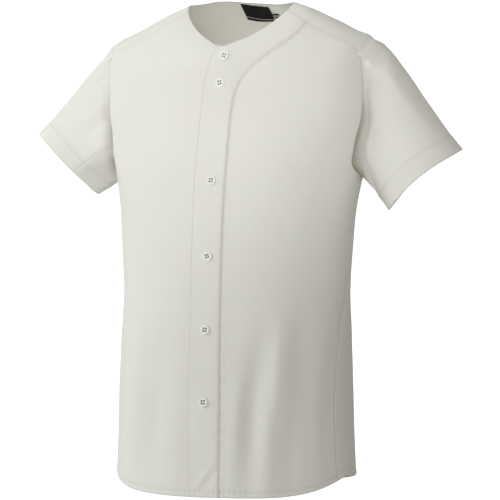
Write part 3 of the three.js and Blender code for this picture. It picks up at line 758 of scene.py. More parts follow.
def facing_height(points):
    """The facing doubles the cloth between its stitch line, the placket's edge and the neckline:
    its height and the shade painted along its stitch line."""
    path = facing_path(90)
    gap, along = distance_to_path(points, path)
    k = np.clip((along * (len(path) - 1)).astype(int), 0, len(path) - 2)
    step = path[k + 1] - path[k]
    toward = points - path[k]
    outside = step[..., 2] * toward[..., 0] - step[..., 0] * toward[..., 2] > 0
    signed = np.where(outside, gap, -gap)
    run = along * 900
    inside = 0.5 / (1 + np.exp(np.minimum(signed / 0.8, FAR_AWAY)))
    wander = np.sin(2 * np.pi * run / 11 + 1.1 * np.sin(run / 31)) * (0.55 + 0.45 * np.sin(run / 57))
    height = inside - 1.1 * bell(signed, 1.8) + 0.42 * bell(signed, 5.5) * wander
    return height, line_shade(signed) * (1 + 0.35 * wander)


def placket_height(distances):
    """The slack of the placket's edge between its buttons."""
    run = distances["bottom"]
    return 0.9 * bell(distances["start"], 9) * np.sin(run / 31 + 0.8) * np.sin(run / 83)


def shaped(points, outward, height):
    """The grid raised by its heights, and waved at the left shoulder tip."""
    result = points + grid_normals(points, outward) * height[..., None]
    across = result[..., :2] @ PICTURE_RIGHT
    high = np.clip((result[..., 2] - TIP_WAVES_FROM) / TIP_WAVES_FADE, 0, 1)
    for place, width, rise in SHOULDER_TIP_WAVES:
        result[..., 2] += rise * high * bell(across - place, width)
    return result


def sewn_panel(distances, seams, hems, fold):
    """The height of a panel's seams, hems and turned-in fold, and the shade painted beside them."""
    fold_at = distances[fold["edge"]]
    height = sewn_height(distances, seams, hems)
    height += stitched_fold(fold_at, distances["start"], fold["depth"], fold["pitch"])
    return height, sewn_shade(distances, seams, hems) + 0.5 * line_shade(fold_at - fold["depth"])


# Meshes

def select_only(obj):
    bpy.ops.object.select_all(action="DESELECT")
    obj.select_set(True)
    bpy.context.view_layer.objects.active = obj


def apply_modifier(obj, kind, **settings):
    select_only(obj)
    bpy.ops.object.modifier_add(type=kind)
    modifier = obj.modifiers[-1]
    for key, value in settings.items():
        setattr(modifier, key, value)
    bpy.ops.object.modifier_apply(modifier=modifier.name)


def mesh_object(name, points, faces):
    mesh = bpy.data.meshes.new(name)
    mesh.from_pydata([tuple(p) for p in points], [], faces)
    mesh.update()
    obj = bpy.data.objects.new(name, mesh)
    bpy.context.scene.collection.objects.link(obj)
    return obj


def cloth_object(name, points, outward, thickness, material, shade=None):
    """A panel of cloth from its grid of points, with UVs in metres of cloth and, if given, a mask of the
    shade painted into its colour, as a thin wall.
    """
    rows, columns = points.shape[:2]
    index = np.arange(rows * columns).reshape(rows, columns)
    quads = np.stack([index[:-1, :-1], index[:-1, 1:], index[1:, 1:], index[1:, :-1]], -1).reshape(-1, 4)
    facing = np.cross(points[:-1, 1:] - points[:-1, :-1], points[1:, :-1] - points[:-1, :-1])
    if np.sum(facing * outward[:-1, :-1]) < 0:
        quads = quads[:, ::-1]
    obj = mesh_object(name, points.reshape(-1, 3) * MM, quads.tolist())
    across = arc_lengths(points, 1)
    across = across - across[:, columns // 2:columns // 2 + 1]
    uv = np.stack([across, arc_lengths(points, 0)], -1).reshape(-1, 2) * MM
    layer = obj.data.uv_layers.new(name="cloth")
    corners = np.empty(len(obj.data.loops), dtype=np.int64)
    obj.data.loops.foreach_get("vertex_index", corners)
    layer.data.foreach_set("uv", uv[corners].ravel())
    # Shade painted into the cloth's colour at seams, free edges and the armhole cleft, kept on the points as
    # a mask
    if shade is not None:
        painted_shade_mask = obj.data.attributes.new("painted_shade", "FLOAT", "POINT")
        painted_shade_mask.data.foreach_set("value", np.clip(shade, 0, 1).ravel())
    obj.data.materials.append(material)
    apply_modifier(obj, "SOLIDIFY", thickness=thickness, offset=-1)
    bpy.ops.object.shade_smooth_by_angle(angle=math.radians(50))
    return obj


def finish_piece(obj, slot, *nodes):
    """Tells the frame what a piece rides on, and the solids that it replaces. Its slot is not used."""
    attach(obj, "root")
    if nodes:
        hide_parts(*nodes)


# Stitching: one stitch is modelled, and copied along each line of holes

def stitch_model(length, width):
    """One stitch, lying along X with +Z away from the cloth, as points and faces in metres."""
    bpy.ops.object.select_all(action="DESELECT")
    bpy.ops.mesh.primitive_uv_sphere_add(segments=6, ring_count=5, radius=1)
    obj = bpy.context.object
    bpy.ops.object.mode_set(mode="EDIT")
    bpy.ops.mesh.select_all(action="SELECT")
    bpy.ops.transform.rotate(value=math.radians(90), orient_axis="Y", center_override=(0, 0, 0))
    bpy.ops.transform.resize(value=(length / 2, width / 2, width / 2))
    bpy.ops.object.mode_set(mode="OBJECT")
    points = np.array([v.co for v in obj.data.vertices])
    points[:, 2] -= (points[:, 0] / (length / 2)) ** 2 * width * 0.45
    faces = [list(f.vertices) for f in obj.data.polygons]
    bpy.data.objects.remove(obj)
    return points, faces


def along_run(places, run, values):
    """Rows of three values, taken between those of a run at the given places."""
    return np.stack([np.interp(places, run, values[:, k]) for k in range(3)], -1)


def even_run(path, normals, pitch):
    """Positions, directions and normals at even steps along a path, in millimetres."""
    run = run_lengths(path)
    count = max(int(run[-1] / pitch), 2)
    at = (np.arange(count) + 0.5) * run[-1] / count
    centre, normal = along_run(at, run, path), along_run(at, run, normals)
    along = along_run(at + 0.5, run, path) - along_run(at - 0.5, run, path)
    along /= np.linalg.norm(along, axis=1, keepdims=True)
    normal -= along * np.sum(normal * along, axis=1, keepdims=True)
    normal /= np.linalg.norm(normal, axis=1, keepdims=True)
    return centre, along, normal


def stitch_line_object(name, runs, sewing, material):
    """Copies one stitch along every run of points and normals."""
    model, faces = stitch_model(sewing.stitch_length * 0.86, sewing.thread_width)
    points, polygons = [], []
    for path, normals in runs:
        centre, along, normal = even_run(path, normals, sewing.stitch_length / MM)
        for c, x, z in zip(centre, along, normal):
            y = np.cross(z, x)
            base = len(points)
            placed = c * MM + z * sewing.thread_width * 0.12 + model @ np.stack([x, y, z])
            points.extend(placed)
            polygons.extend([base + k for k in face] for face in faces)
    obj = mesh_object(name, points, polygons)
    obj.data.materials.append(material)
    select_only(obj)
    bpy.ops.object.shade_smooth()
    finish_piece(obj, "jersey_cloth")
    return obj


def on_grid(path, grid, normals):
    """Lays a path on the nearest points of a shaped grid."""
    flat = grid.reshape(-1, 3)
    flat_normals = normals.reshape(-1, 3)
    laid, up = [], []
    for point in path:
        near = np.argmin(np.sum((flat - point) ** 2, axis=1))
        normal = flat_normals[near]
        laid.append(point + normal * ((flat[near] - point) @ normal))
        up.append(normal)
    return np.array(laid), np.array(up)


def row_run(panel, distance, edge):
    """The points and normals of a shaped panel at a distance from one of its edges."""
    parts = (edge_distances(PANELS[panel][0])[edge], *PANELS[panel])
    if edge in ("bottom", "top"):
        parts = (np.swapaxes(part, 0, 1) for part in parts)
    if edge in ("top", "end"):
        parts = (part[:, ::-1] for part in parts)
    lengths, grid, normals = parts
    return tuple(
        np.array([along_run(distance, run, row) for run, row in zip(lengths, rows)])
        for rows in (grid, normals)
    )


def beside_lap(run):
    """The part of the right front's run that the placket doesn't hide."""
    return tuple(part[COLUMNS_UNDER_LAP:] for part in run)


# Shaped grids of the panels with their normals, kept for the stitching and the buttons
PANELS = {}


def body_panel(points, seams, hems):
    """What the panels of the body share: their outward side, edge distances, height and painted shade."""
    distances = edge_distances(points)
    creases = [(body_path(spots), width, rise) for spots, width, rise in BODY_CREASES]
    height, shade = sewn_panel(distances, seams, hems, HEM)
    return away_from_body(points), distances, crease_height(points, creases) + height, shade


def shape_front(side):
    """One front: the left one has the facing and the loose placket, the right one lies flat under it."""
    points = front_grid(side)
    outward, distances, height, shade = body_panel(points, ("end",), ("bottom", "top", "start"))
    if side > 0:
        facing, facing_shade = facing_height(points)
        height += facing + placket_height(distances)
        shade = shade + facing_shade
    else:
        height *= np.clip(distances["start"] / FLAT_UNDER_LAP, 0, 1)
        height -= LAP_CLEARANCE * np.clip(1 - distances["start"] / LAP_WIDTH, 0, 1)
    return shaped(points, outward, height), outward, shade


def shape_back():
    points = back_grid()
    outward, _, height, shade = body_panel(points, ("start", "end"), ("bottom", "top"))
    return shaped(points, outward, height), outward, shade


def shape_side(side):
    points = side_grid(side)
    outward, _, height, shade = body_panel(points, ("start", "end", "top"), ("bottom",))
    return shaped(points, outward, height), outward, shade


def shape_sleeve(name, part):
    form = sleeve_form(SLEEVES[name])
    first, last = UNDER_STEPS, 2 * ARMHOLE_STEPS - UNDER_STEPS
    steps = sleeve_steps(first, last, 7) if part == "upper" else sleeve_steps(last, LOOP + first, 5)
    points = rounded_sleeve(form, steps, SLEEVE_SHARES)
    outward = points - form["root"] - (form["middle"] - form["root"]) * SLEEVE_SHARES[:, None, None]
    distances = edge_distances(points)
    creases = [(sleeve_path(form, spots), width, rise) for spots, width, rise in SLEEVE_CREASES[name]]
    height, shade = sewn_panel(distances, ("start", "end", "bottom"), ("top",), CUFF)
    height += crease_height(points, creases) * np.clip(distances["bottom"] / 6, 0, 1)
    return shaped(points, outward, height), outward, shade + cleft_shade(steps, distances["bottom"])


def cleft_shade(steps, distance):
    """The shade painted between chest and sleeve, wider and darker towards the armpit."""
    at = (steps + SIDE_STEPS) % LOOP - SIDE_STEPS
    front = np.clip((9 - at) / 3, 0, 1) * np.clip((at + 2.5) / 2.5, 0, 1)
    low = np.clip(7.5 - at, 0, 6)
    return (0.4 + 0.08 * low) * front * bell(distance, 4 + 3.2 * low)


# Materials

def new_material(name, inputs):
    """A node material, its shader set by a table of values and other nodes' outputs."""
    material = bpy.data.materials.new(name)
    material.use_nodes = True
    shader = material.node_tree.nodes["Principled BSDF"]
    set_inputs(material, shader, inputs)
    return material, shader


def set_inputs(material, node, inputs):
    """Sets each named input of a node to a value, or links it to another node's output."""
    for key, value in inputs.items():
        if isinstance(value, bpy.types.NodeSocket):
            material.node_tree.links.new(value, node.inputs[key])
        else:
            node.inputs[key].default_value = value


def add_node(material, kind, inputs, **settings):
    node = material.node_tree.nodes.new(kind)
    for key, value in settings.items():
        setattr(node, key, value)
    set_inputs(material, node, inputs)
    return node


def place_output(material, name):
    return add_node(material, "ShaderNodeTexCoord", {}).outputs[name]


def noise(material, place, scale, detail, **more):
    inputs = {"Vector": place, "Scale": scale, "Detail": detail, **more}
    return add_node(material, "ShaderNodeTexNoise", inputs).outputs["Fac"]


def math_node(material, operation, *values):
    inputs = dict(enumerate(values))
    return add_node(material, "ShaderNodeMath", inputs, operation=operation).outputs[0]


def mixed(material, factor, a, b, blend="MIX"):
    """One colour mixed into another."""
    inputs = {"Factor": factor, "A": a, "B": b}
    return add_node(material, "ShaderNodeMix", inputs, data_type="RGBA", blend_type=blend).outputs["Result"]


def bump(material, height, strength, distance, **more):
    inputs = {"Height": height, "Strength": strength, "Distance": distance, **more}
    return add_node(material, "ShaderNodeBump", inputs).outputs["Normal"]


def ramp(material, factor, base, low_share, low=0.0, high=1.0):
    """The base colour, and below it a darker one made of the given share of each part of it."""
    node = add_node(material, "ShaderNodeValToRGB", {"Fac": factor})
    dark, light = node.color_ramp.elements
    dark.position, light.position = low, high
    dark.color = tinted(base, low_share)
    light.color = (*base, 1)
    return node.outputs["Color"]


def tinted(base, share):
    return (*(part * k for part, k in zip(base, share)), 1)


def knit_material(cloth):
    """Off-white double knit: fine rows of loops, a soft sheen, slight unevenness of tone, and shade painted
    into its colour at seams, free edges and the armhole cleft.
    """
    material, shader = new_material("ivory_double_knit", {
        "Sheen Weight": 0.18, "Sheen Roughness": 0.45, "Specular IOR Level": 0.28,
        "Subsurface Weight": 0.12, "Subsurface Radius": (0.004, 0.003, 0.002),
    })
    flat, solid = place_output(material, "UV"), place_output(material, "Object")
    rows = []
    for axis, pitch in (("X", cloth.loop_width), ("Y", cloth.loop_width * 0.72)):
        inputs = {"Vector": flat, "Scale": 1 / (pitch * 20 / math.pi), "Distortion": 1.2, "Detail Scale": 3}
        rows.append(add_node(material, "ShaderNodeTexWave", inputs, bands_direction=axis).outputs["Fac"])
    loops = math_node(material, "MULTIPLY", *rows)
    fuzz = noise(material, flat, 900, 3)
    fine = math_node(material, "MULTIPLY_ADD", fuzz, 0.35, loops)
    rumple = bump(material, noise(material, solid, 26, 2, Roughness=0.45), 0.22, 0.0035)
    base = cloth.colour
    tone = ramp(material, noise(material, solid, 7, 3), base, (0.98, 0.972, 0.95), 0.3, 0.75)
    knit = mixed(material, 0.05, tone, loops, "MULTIPLY")
    # The mask of painted shade that the panels carry on their points
    painted_shade_mask = add_node(material, "ShaderNodeAttribute", {}, attribute_name="painted_shade").outputs["Fac"]
    rough = add_node(material, "ShaderNodeMapRange", {"Value": fuzz, "To Min": 0.74, "To Max": 0.9})
    set_inputs(material, shader, {
        # Painted shade: the knit's colour turned towards a warm dark share of itself where the mask is high
        "Base Color": mixed(material, painted_shade_mask, knit, tinted(base, (0.36, 0.32, 0.25))),
        "Roughness": rough.outputs["Result"],
        "Normal": bump(material, fine, 0.16, 0.00025, Normal=rumple),
    })
    return material


def thread_material(sewing):
    """Twisted polyester thread, a little brighter and glossier than the cloth."""
    material, shader = new_material("polyester_thread", {"Roughness": 0.45, "Sheen Weight": 0.1})
    inputs = {"Vector": place_output(material, "Object"), "Scale": 420, "Distortion": 0.4}
    twist = add_node(material, "ShaderNodeTexWave", inputs, bands_direction="DIAGONAL").outputs["Fac"]
    set_inputs(material, shader, {
        "Base Color": ramp(material, twist, sewing.thread_colour, (0.88, 0.87, 0.84)),
        "Normal": bump(material, twist, 0.4, 0.0001),
    })
    return material


def pearl_material(buttons):
    """Polished off-white resin with the cloudy bands of imitation pearl."""
    material, shader = new_material("pearl_resin", {
        "Roughness": 0.36, "Coat Weight": 0.25, "Coat Roughness": 0.2, "Specular IOR Level": 0.4,
    })
    cloud = noise(material, place_output(material, "Object"), 150, 4, Distortion=1.6)
    set_inputs(material, shader, {
        "Base Color": ramp(material, cloud, buttons.colour, (0.92, 0.92, 0.91), 0.3, 0.7),
    })
    return material


def painted_shadow_knot_material(buttons):
    """Thread packed into the button holes, coloured with a painted shadow: the dark tone that the holes'
    shade gives it.
    """
    # Painted shadow: the buttons' colour darkened to about a fifth
    colour = tinted(buttons.colour, (0.2, 0.195, 0.185))
    return new_material("thread_in_painted_shadow", {"Roughness": 0.8, "Base Color": colour})[0]


def label_material(name, colour, edge_colour, low, high):
    """Woven satin label: fine weft ribs, with a paler band between two distances from its upper edge."""
    material, shader = new_material(name, {
        "Roughness": 0.6, "Sheen Weight": 0.04, "Specular IOR Level": 0.2,
    })
    flat = place_output(material, "UV")
    inputs = {"Vector": flat, "Scale": 1 / (RIB_WIDTH * 20 / math.pi), "Distortion": 0.5}
    weft = add_node(material, "ShaderNodeTexWave", inputs, bands_direction="Y").outputs
    height = add_node(material, "ShaderNodeSeparateXYZ", {"Vector": flat}).outputs["Y"]
    above = math_node(material, "GREATER_THAN", height, low)
    below = math_node(material, "LESS_THAN", height, high)
    band = math_node(material, "MULTIPLY", above, below)
    ground = mixed(material, band, (*colour, 1), (*edge_colour, 1))
    set_inputs(material, shader, {
        "Base Color": mixed(material, 0.35, ground, weft["Color"], "MULTIPLY"),
        "Normal": bump(material, weft["Fac"], 0.5, 0.0002),
    })
    return material


def studio_material(name, base, glow):
    """Seamless white paper, faintly mottled."""
    material, shader = new_material(name, {"Roughness": 0.9, "Emission Strength": glow})
    mottle = noise(material, place_output(material, "Object"), 3, 2)
    paper = ramp(material, mottle, base, (0.99, 0.99, 0.99))
    set_inputs(material, shader, {"Base Color": paper, "Emission Color": paper})
    return material


def shared_material(name, make, settings):
    """A material by name, made when it is first asked for."""
    return bpy.data.materials.get(name) or make(settings)


# Settings

class JerseyClothSettings(bpy.types.PropertyGroup):
    thickness: bpy.props.FloatProperty(
        name="Cloth thickness", description="Thickness of one layer of the knit",
        default=0.0011, min=0.0005, max=0.003, unit="LENGTH",
    )
    loop_width: bpy.props.FloatProperty(
        name="Loop width", description="Width of one knitted loop",
        default=0.0011, min=0.0003, max=0.004, unit="LENGTH",
    )
    colour: bpy.props.FloatVectorProperty(
        name="Cloth colour", description="Colour of the cloth",
        default=(0.865, 0.86, 0.825), size=3, min=0, max=1, subtype="COLOR",
    )


class JerseySewingSettings(bpy.types.PropertyGroup):
    stitch_length: bpy.props.FloatProperty(
        name="Stitch length", description="Distance from one needle hole to the next",
        default=0.0031, min=0.0015, max=0.006, unit="LENGTH",
    )
    thread_width: bpy.props.FloatProperty(
        name="Thread width", description="Width of a stitch on the cloth",
        default=0.0007, min=0.0002, max=0.002, unit="LENGTH",
    )
    thread_colour: bpy.props.FloatVectorProperty(
        name="Thread colour", description="Colour of the sewing thread",
        default=(0.88, 0.875, 0.84), size=3, min=0, max=1, subtype="COLOR",
    )


class JerseyButtonSettings(bpy.types.PropertyGroup):
    diameter: bpy.props.FloatProperty(
        name="Button diameter", description="Width of a button across its rim",
        default=0.015, min=0.008, max=0.025, unit="LENGTH",
    )
    thickness: bpy.props.FloatProperty(
        name="Button thickness", description="Thickness of a button at its rim",
        default=0.0024, min=0.001, max=0.005, unit="LENGTH",
    )
    colour: bpy.props.FloatVectorProperty(
        name="Button colour", description="Colour of the imitation pearl",
        default=(0.96, 0.958, 0.935), size=3, min=0, max=1, subtype="COLOR",
    )


class JerseyLabelSettings(bpy.types.PropertyGroup):
    thickness: bpy.props.FloatProperty(
        name="Label thickness", description="Thickness of the folded woven label",
        default=0.0009, min=0.0003, max=0.002, unit="LENGTH",
    )
    colour: bpy.props.FloatVectorProperty(
        name="Label colour", description="Colour of the label's ground",
        default=(0.006, 0.0055, 0.0065), size=3, min=0, max=1, subtype="COLOR",
    )
    edge_colour: bpy.props.FloatVectorProperty(
        name="Label edge colour", description="Colour of the paler woven band",
        default=(0.45, 0.42, 0.36), size=3, min=0, max=1, subtype="COLOR",
    )


class JerseyStudioSettings(bpy.types.PropertyGroup):
    paper_colour: bpy.props.FloatVectorProperty(
        name="Paper colour", description="Colour of the floor and backdrop",
        default=(0.9, 0.9, 0.9), size=3, min=0, max=1, subtype="COLOR",
    )
    paper_glow: bpy.props.FloatProperty(
        name="Paper glow", description="Light given off by the backdrop itself",
        default=1.1, min=0, max=5,
    )
    key_power: bpy.props.FloatProperty(
        name="Key light", description="Power of the soft light from the upper left",
        default=45, min=0, unit="POWER",
    )
    fill_power: bpy.props.FloatProperty(
        name="Fill light", description="Power of the soft light from the front",
        default=35, min=0, unit="POWER",
    )
    upper_power: bpy.props.FloatProperty(
        name="Upper light", description="Power of the narrow light on the neck and chest",
        default=0.2, min=0, unit="POWER",
    )
    inner_power: bpy.props.FloatProperty(
        name="Inner light", description="Power of the light inside, for what shines through the cloth",
        default=0.08, min=0, unit="POWER",
    )


# Operators

def cloth_piece(node, grid, outward, shade):
    """One panel in place of its solid, kept for the stitching."""
    cloth = bpy.context.scene.jersey_cloth
    material = shared_material("ivory_double_knit", knit_material, cloth)
    obj = cloth_object(f"{node}_cloth", grid, outward, cloth.thickness, material, shade)
    finish_piece(obj, "jersey_cloth", node)
    PANELS[node] = (grid, grid_normals(grid, outward))


class JERSEY_OT_fronts(bpy.types.Operator):
    """Make the two fronts, the left one lapped over the right with its placket and facing"""

    bl_idname = "jersey.fronts"
    bl_label = "Fronts"

    def execute(self, context):
        cloth_piece("front_right", *shape_front(-1))
        cloth_piece("front_left", *shape_front(1))
        return {"FINISHED"}


class JERSEY_OT_back(bpy.types.Operator):
    """Make the back, brought forward over both shoulders"""

    bl_idname = "jersey.back"
    bl_label = "Back"

    def execute(self, context):
        cloth_piece("back", *shape_back())
        return {"FINISHED"}


class JERSEY_OT_sides(bpy.types.Operator):
    """Make the two side panels"""

    bl_idname = "jersey.sides"
    bl_label = "Side panels"

    def execute(self, context):
        cloth_piece("side_left", *shape_side(1))
        cloth_piece("side_right", *shape_side(-1))
        return {"FINISHED"}


class JERSEY_OT_sleeves(bpy.types.Operator):
    """Make the upper and the under panel of both sleeves"""

    bl_idname = "jersey.sleeves"
    bl_label = "Sleeves"

    def execute(self, context):
        for side in ("left", "right"):
            cloth_piece(f"sleeve_{side}", *shape_sleeve(side, "upper"))
            cloth_piece(f"sleeve_under_{side}", *shape_sleeve(side, "under"))
        return {"FINISHED"}


class JERSEY_OT_topstitching(bpy.types.Operator):
    """Sew the stitch lines of the placket, facing, hem, neckline and cuffs"""

    bl_idname = "jersey.topstitching"
    bl_label = "Topstitching"

    def execute(self, context):
        sewing = context.scene.jersey_sewing
        thread = shared_material("polyester_thread", thread_material, sewing)
        facing = on_grid(facing_path(700)[FACING_STITCHES_FROM:], *PANELS["front_left"])
        placket = row_run("front_left", PLACKET_SEWING, "start")
        stitch_line_object("placket_stitches", [facing, placket], sewing, thread)
        hemmed = ("front_left", "back", "side_left", "side_right")
        hems = [row_run(name, HEM["depth"], "bottom") for name in hemmed]
        hems.append(beside_lap(row_run("front_right", HEM["depth"], "bottom")))
        stitch_line_object("hem_stitches", hems, sewing, thread)
        neck = [row_run(name, NECK_SEWING, "top") for name in ("front_left", "back")]
        neck.append(beside_lap(row_run("front_right", NECK_SEWING, "top")))
        stitch_line_object("neckline_stitches", neck, sewing, thread)
        for side in ("left", "right"):
            cuffed = (f"sleeve_{side}", f"sleeve_under_{side}")
            cuff = [row_run(name, CUFF["depth"], "top") for name in cuffed]
            stitch_line_object(f"cuff_{side}_stitches", cuff, sewing, thread)
        return {"FINISHED"}


class JERSEY_OT_buttons(bpy.types.Operator):
    """Make one four-hole button with its thread, and copy it to each place on the placket"""

    bl_idname = "jersey.buttons"
    bl_label = "Buttons"

    def execute(self, context):
        buttons = context.scene.jersey_buttons
        pearl = shared_material("pearl_resin", pearl_material, buttons)
        # The thread's material is the painted shadow of the holes; the bars over the face get it too
        thread = shared_material("thread_in_painted_shadow", painted_shadow_knot_material, buttons)
        model = button_model(buttons)
        cross = thread_model(buttons)
        for number in range(1, BUTTON_COUNT + 1):
            centre, turn = button_place(f"button_{number}")
            for source, name, material, slot in (
                (model, f"pearl_button_{number}", pearl, "button"),
                (cross, f"button_thread_in_painted_shadow_{number}", thread, "jersey_cloth"),
            ):
                copy = bpy.data.objects.new(name, source.data.copy())
                bpy.context.scene.collection.objects.link(copy)
                copy.data.transform(Matrix.Translation(centre) @ turn)
                copy.data.materials.clear()
                copy.data.materials.append(material)
                if source is model:
                    finish_piece(copy, slot, f"button_{number}")
                else:
                    finish_piece(copy, slot)
        bpy.data.objects.remove(model)
        bpy.data.objects.remove(cross)
        return {"FINISHED"}


# The four holes of a button: their corners, and their share of the radius out from its middle
HOLE_CORNERS = ((1, 1), (-1, 1), (-1, -1), (1, -1))
HOLE_SPREAD = 0.27
# The dish of a button, from its rim inwards: width in radii and depth in thicknesses of each step
DISH_STEPS = ((0.17, 0), (0.1, 0.08), (0.3, 0.03))
BUTTON_COUNT = 6
# How far round its place a button finds its cloth, in metres, and the percentage of it that it clears
BUTTON_REACH = 0.0085
BUTTON_REST = 80
# How far the buttons are turned in their sewing, in degrees, and how fast that changes downwards
BUTTON_TURN = 18
BUTTON_TURN_PACE = 91


def button_model(buttons):
    """A flat button: dished middle, rounded rim and four holes."""
    radius, thick = buttons.diameter / 2, buttons.thickness
    bpy.ops.object.select_all(action="DESELECT")
    bpy.ops.mesh.primitive_cylinder_add(vertices=64, radius=radius, depth=thick, location=(0, 0, thick / 2))
    obj = bpy.context.object
    bpy.ops.object.transform_apply(location=True)
    bpy.ops.object.mode_set(mode="EDIT")
    mesh = bmesh.from_edit_mesh(obj.data)
    for face in mesh.faces:
        face.select_set(face.normal.z > 0.9)
    bmesh.update_edit_mesh(obj.data)
    for width, depth in DISH_STEPS:
        bpy.ops.mesh.inset(thickness=radius * width, depth=-thick * depth)
    bpy.ops.object.mode_set(mode="OBJECT")
    apply_modifier(
        obj, "BEVEL", width=thick * 0.2, segments=3, limit_method="ANGLE", angle_limit=math.radians(28)
    )
    spread = radius * HOLE_SPREAD
    for x, y in HOLE_CORNERS:
        bpy.ops.object.select_all(action="DESELECT")
        bpy.ops.mesh.primitive_cylinder_add(
            vertices=20, radius=radius * 0.2, depth=thick * 4, location=(x * spread, y * spread, thick / 2)
        )
        drill = bpy.context.object
        apply_modifier(obj, "BOOLEAN", operation="DIFFERENCE", object=drill, solver="EXACT")
        bpy.data.objects.remove(drill)
    select_only(obj)
    bpy.ops.object.shade_smooth_by_angle(angle=math.radians(35))
    return obj


def thread_model(buttons):
    """Two parallel bars of thread, and the knot of thread that fills each of the four holes."""
    radius, thick = buttons.diameter / 2, buttons.thickness
    spread = radius * HOLE_SPREAD
    bpy.ops.object.select_all(action="DESELECT")
    strands = []
    for y in (-spread, spread):
        bpy.ops.mesh.primitive_cylinder_add(
            vertices=8, radius=radius * 0.03, depth=spread * 2, end_fill_type="TRIFAN"
        )
        strand = bpy.context.object
        bpy.ops.object.mode_set(mode="EDIT")
        bpy.ops.mesh.select_all(action="SELECT")
        bpy.ops.mesh.subdivide(number_cuts=5)
        bpy.ops.transform.rotate(value=math.radians(90), orient_axis="Y", center_override=(0, 0, 0))
        bpy.ops.object.mode_set(mode="OBJECT")
        for vertex in strand.data.vertices:
            drop = min(abs(vertex.co.x) / spread, 1) ** 3
            vertex.co.z += thick * (0.93 + 0.12 * (1 - drop) - 0.5 * drop)
            vertex.co.y += y
        strands.append(strand)
    # Knots that fill the holes: thread, dark with the painted shadow of the holes
    for x, y in HOLE_CORNERS:
        place = (x * spread, y * spread, thick * 0.55)
        bpy.ops.mesh.primitive_cylinder_add(
            vertices=16, radius=radius * 0.19, depth=thick * 0.3, location=place
        )
        bpy.ops.object.transform_apply(location=True)
        strands.append(bpy.context.object)
    for strand in strands:
        strand.select_set(True)
    bpy.context.view_layer.objects.active = strands[0]
    bpy.ops.object.join()
    bpy.ops.object.shade_smooth()
    return strands[0]


def button_place(node):
    """The place and turn of a button, from its solid, set down on the placket's cloth."""
    solid = bpy.data.objects[node]
    points = np.array([solid.matrix_world @ v.co for v in solid.data.vertices])
    centre = points.mean(0)
    normal = np.linalg.svd(points - centre, full_matrices=False)[2][2]
    if normal[1] > 0:
        normal = -normal
    grid = PANELS["front_left"][0].reshape(-1, 3) * MM
    near = grid[np.linalg.norm(grid - centre, axis=1) < BUTTON_REACH]
    lift = np.percentile((near - centre) @ normal, BUTTON_REST)
    across = np.cross((0, 0, 1), normal)
    across /= np.linalg.norm(across)
    lean = math.radians(BUTTON_TURN * math.sin(centre[2] * BUTTON_TURN_PACE))
    up = np.cross(normal, across)
    x = across * math.cos(lean) + up * math.sin(lean)
    y = np.cross(normal, x)
    turn = Matrix([[x[0], y[0], normal[0]], [x[1], y[1], normal[1]], [x[2], y[2], normal[2]]]).to_4x4()
    return Vector(centre + normal * lift), turn


class JERSEY_OT_labels(bpy.types.Operator):
    """Sew the bare label and the plain size tag inside the back of the neck"""

    bl_idname = "jersey.labels"
    bl_label = "Labels"

    def execute(self, context):
        labels = context.scene.jersey_labels
        for node, label in LABELS.items():
            material = label_material(f"woven_{node}", labels.colour, labels.edge_colour, *label["band"])
            obj = label_piece(f"{node}_cloth", label, labels.thickness, material)
            finish_piece(obj, label["slot"], node)
        return {"FINISHED"}


def level_below_neck(angle, length):
    """The level that lies a length of cloth below the neckline, at one angle."""
    levels = np.arange(NECK_LEVEL, NECK_LEVEL - 3, -0.05)
    points = body_point(np.full(len(levels), angle), levels)
    return np.interp(length, run_lengths(points), levels)


def label_piece(name, spec, thickness, material):
    """A label on the inside of the back neck, with a soft wave of its own."""
    rows, columns = 20, 34
    grid = np.empty((rows, columns, 3))
    for j, t in enumerate(np.linspace(-0.5, 0.5, columns)):
        for i, down in enumerate(np.linspace(0, 1, rows)):
            x = spec["middle"] + spec["width"] * t + LABEL_LEAN * (down - 0.5)
            drop = spec["drop"] + spec["height"] * down + spec["slant"] * t
            across = x / 70
            for _ in range(3):
                angle = math.pi - math.asin(across)
                point = body_point(angle, level_below_neck(angle, drop))
                across *= x / point[0] if abs(point[0]) > 1 else 1
            grid[i, j] = point
    inward = grid_normals(grid, away_from_body(grid)) * -1
    across, down = np.meshgrid(np.linspace(-1, 1, columns), np.linspace(0, 1, rows))
    wave = 0.25 * np.sin(2.6 * across + 1.8 * down) * down + 0.4 * down**2 * np.cos(1.5 * across)
    return cloth_object(name, grid + inward * (LABEL_INSET + wave)[..., None], inward, thickness, material)


# The photograph's view: how far the camera stands round to the jersey's left, its distance and
# height, how far it is set sideways, and its lens
VIEW_TURN = math.radians(23)
CAMERA_DISTANCE = 5
EYE_LEVEL = -0.389
CAMERA_SHIFT = 0.0134
LENS = 227.8
SENSOR = 36
# The paper of the studio
FLOOR_LEVEL = -0.98
FLOOR_RADIUS = 1.25
BACKDROP_DISTANCE = 14
BACKDROP_SIZE = 4
# What the lights are aimed at, their colours, and the top light's share of the front light's power
JERSEY_MIDDLE = (0, 0, -0.38)
KEY_COLOUR = (0.96, 1, 0.985)
INNER_COLOUR = (1, 0.965, 0.87)
TOP_SHARE = 0.22
AIR_COLOUR = (1, 0.97, 0.9, 1)
AIR_STRENGTH = 0.3


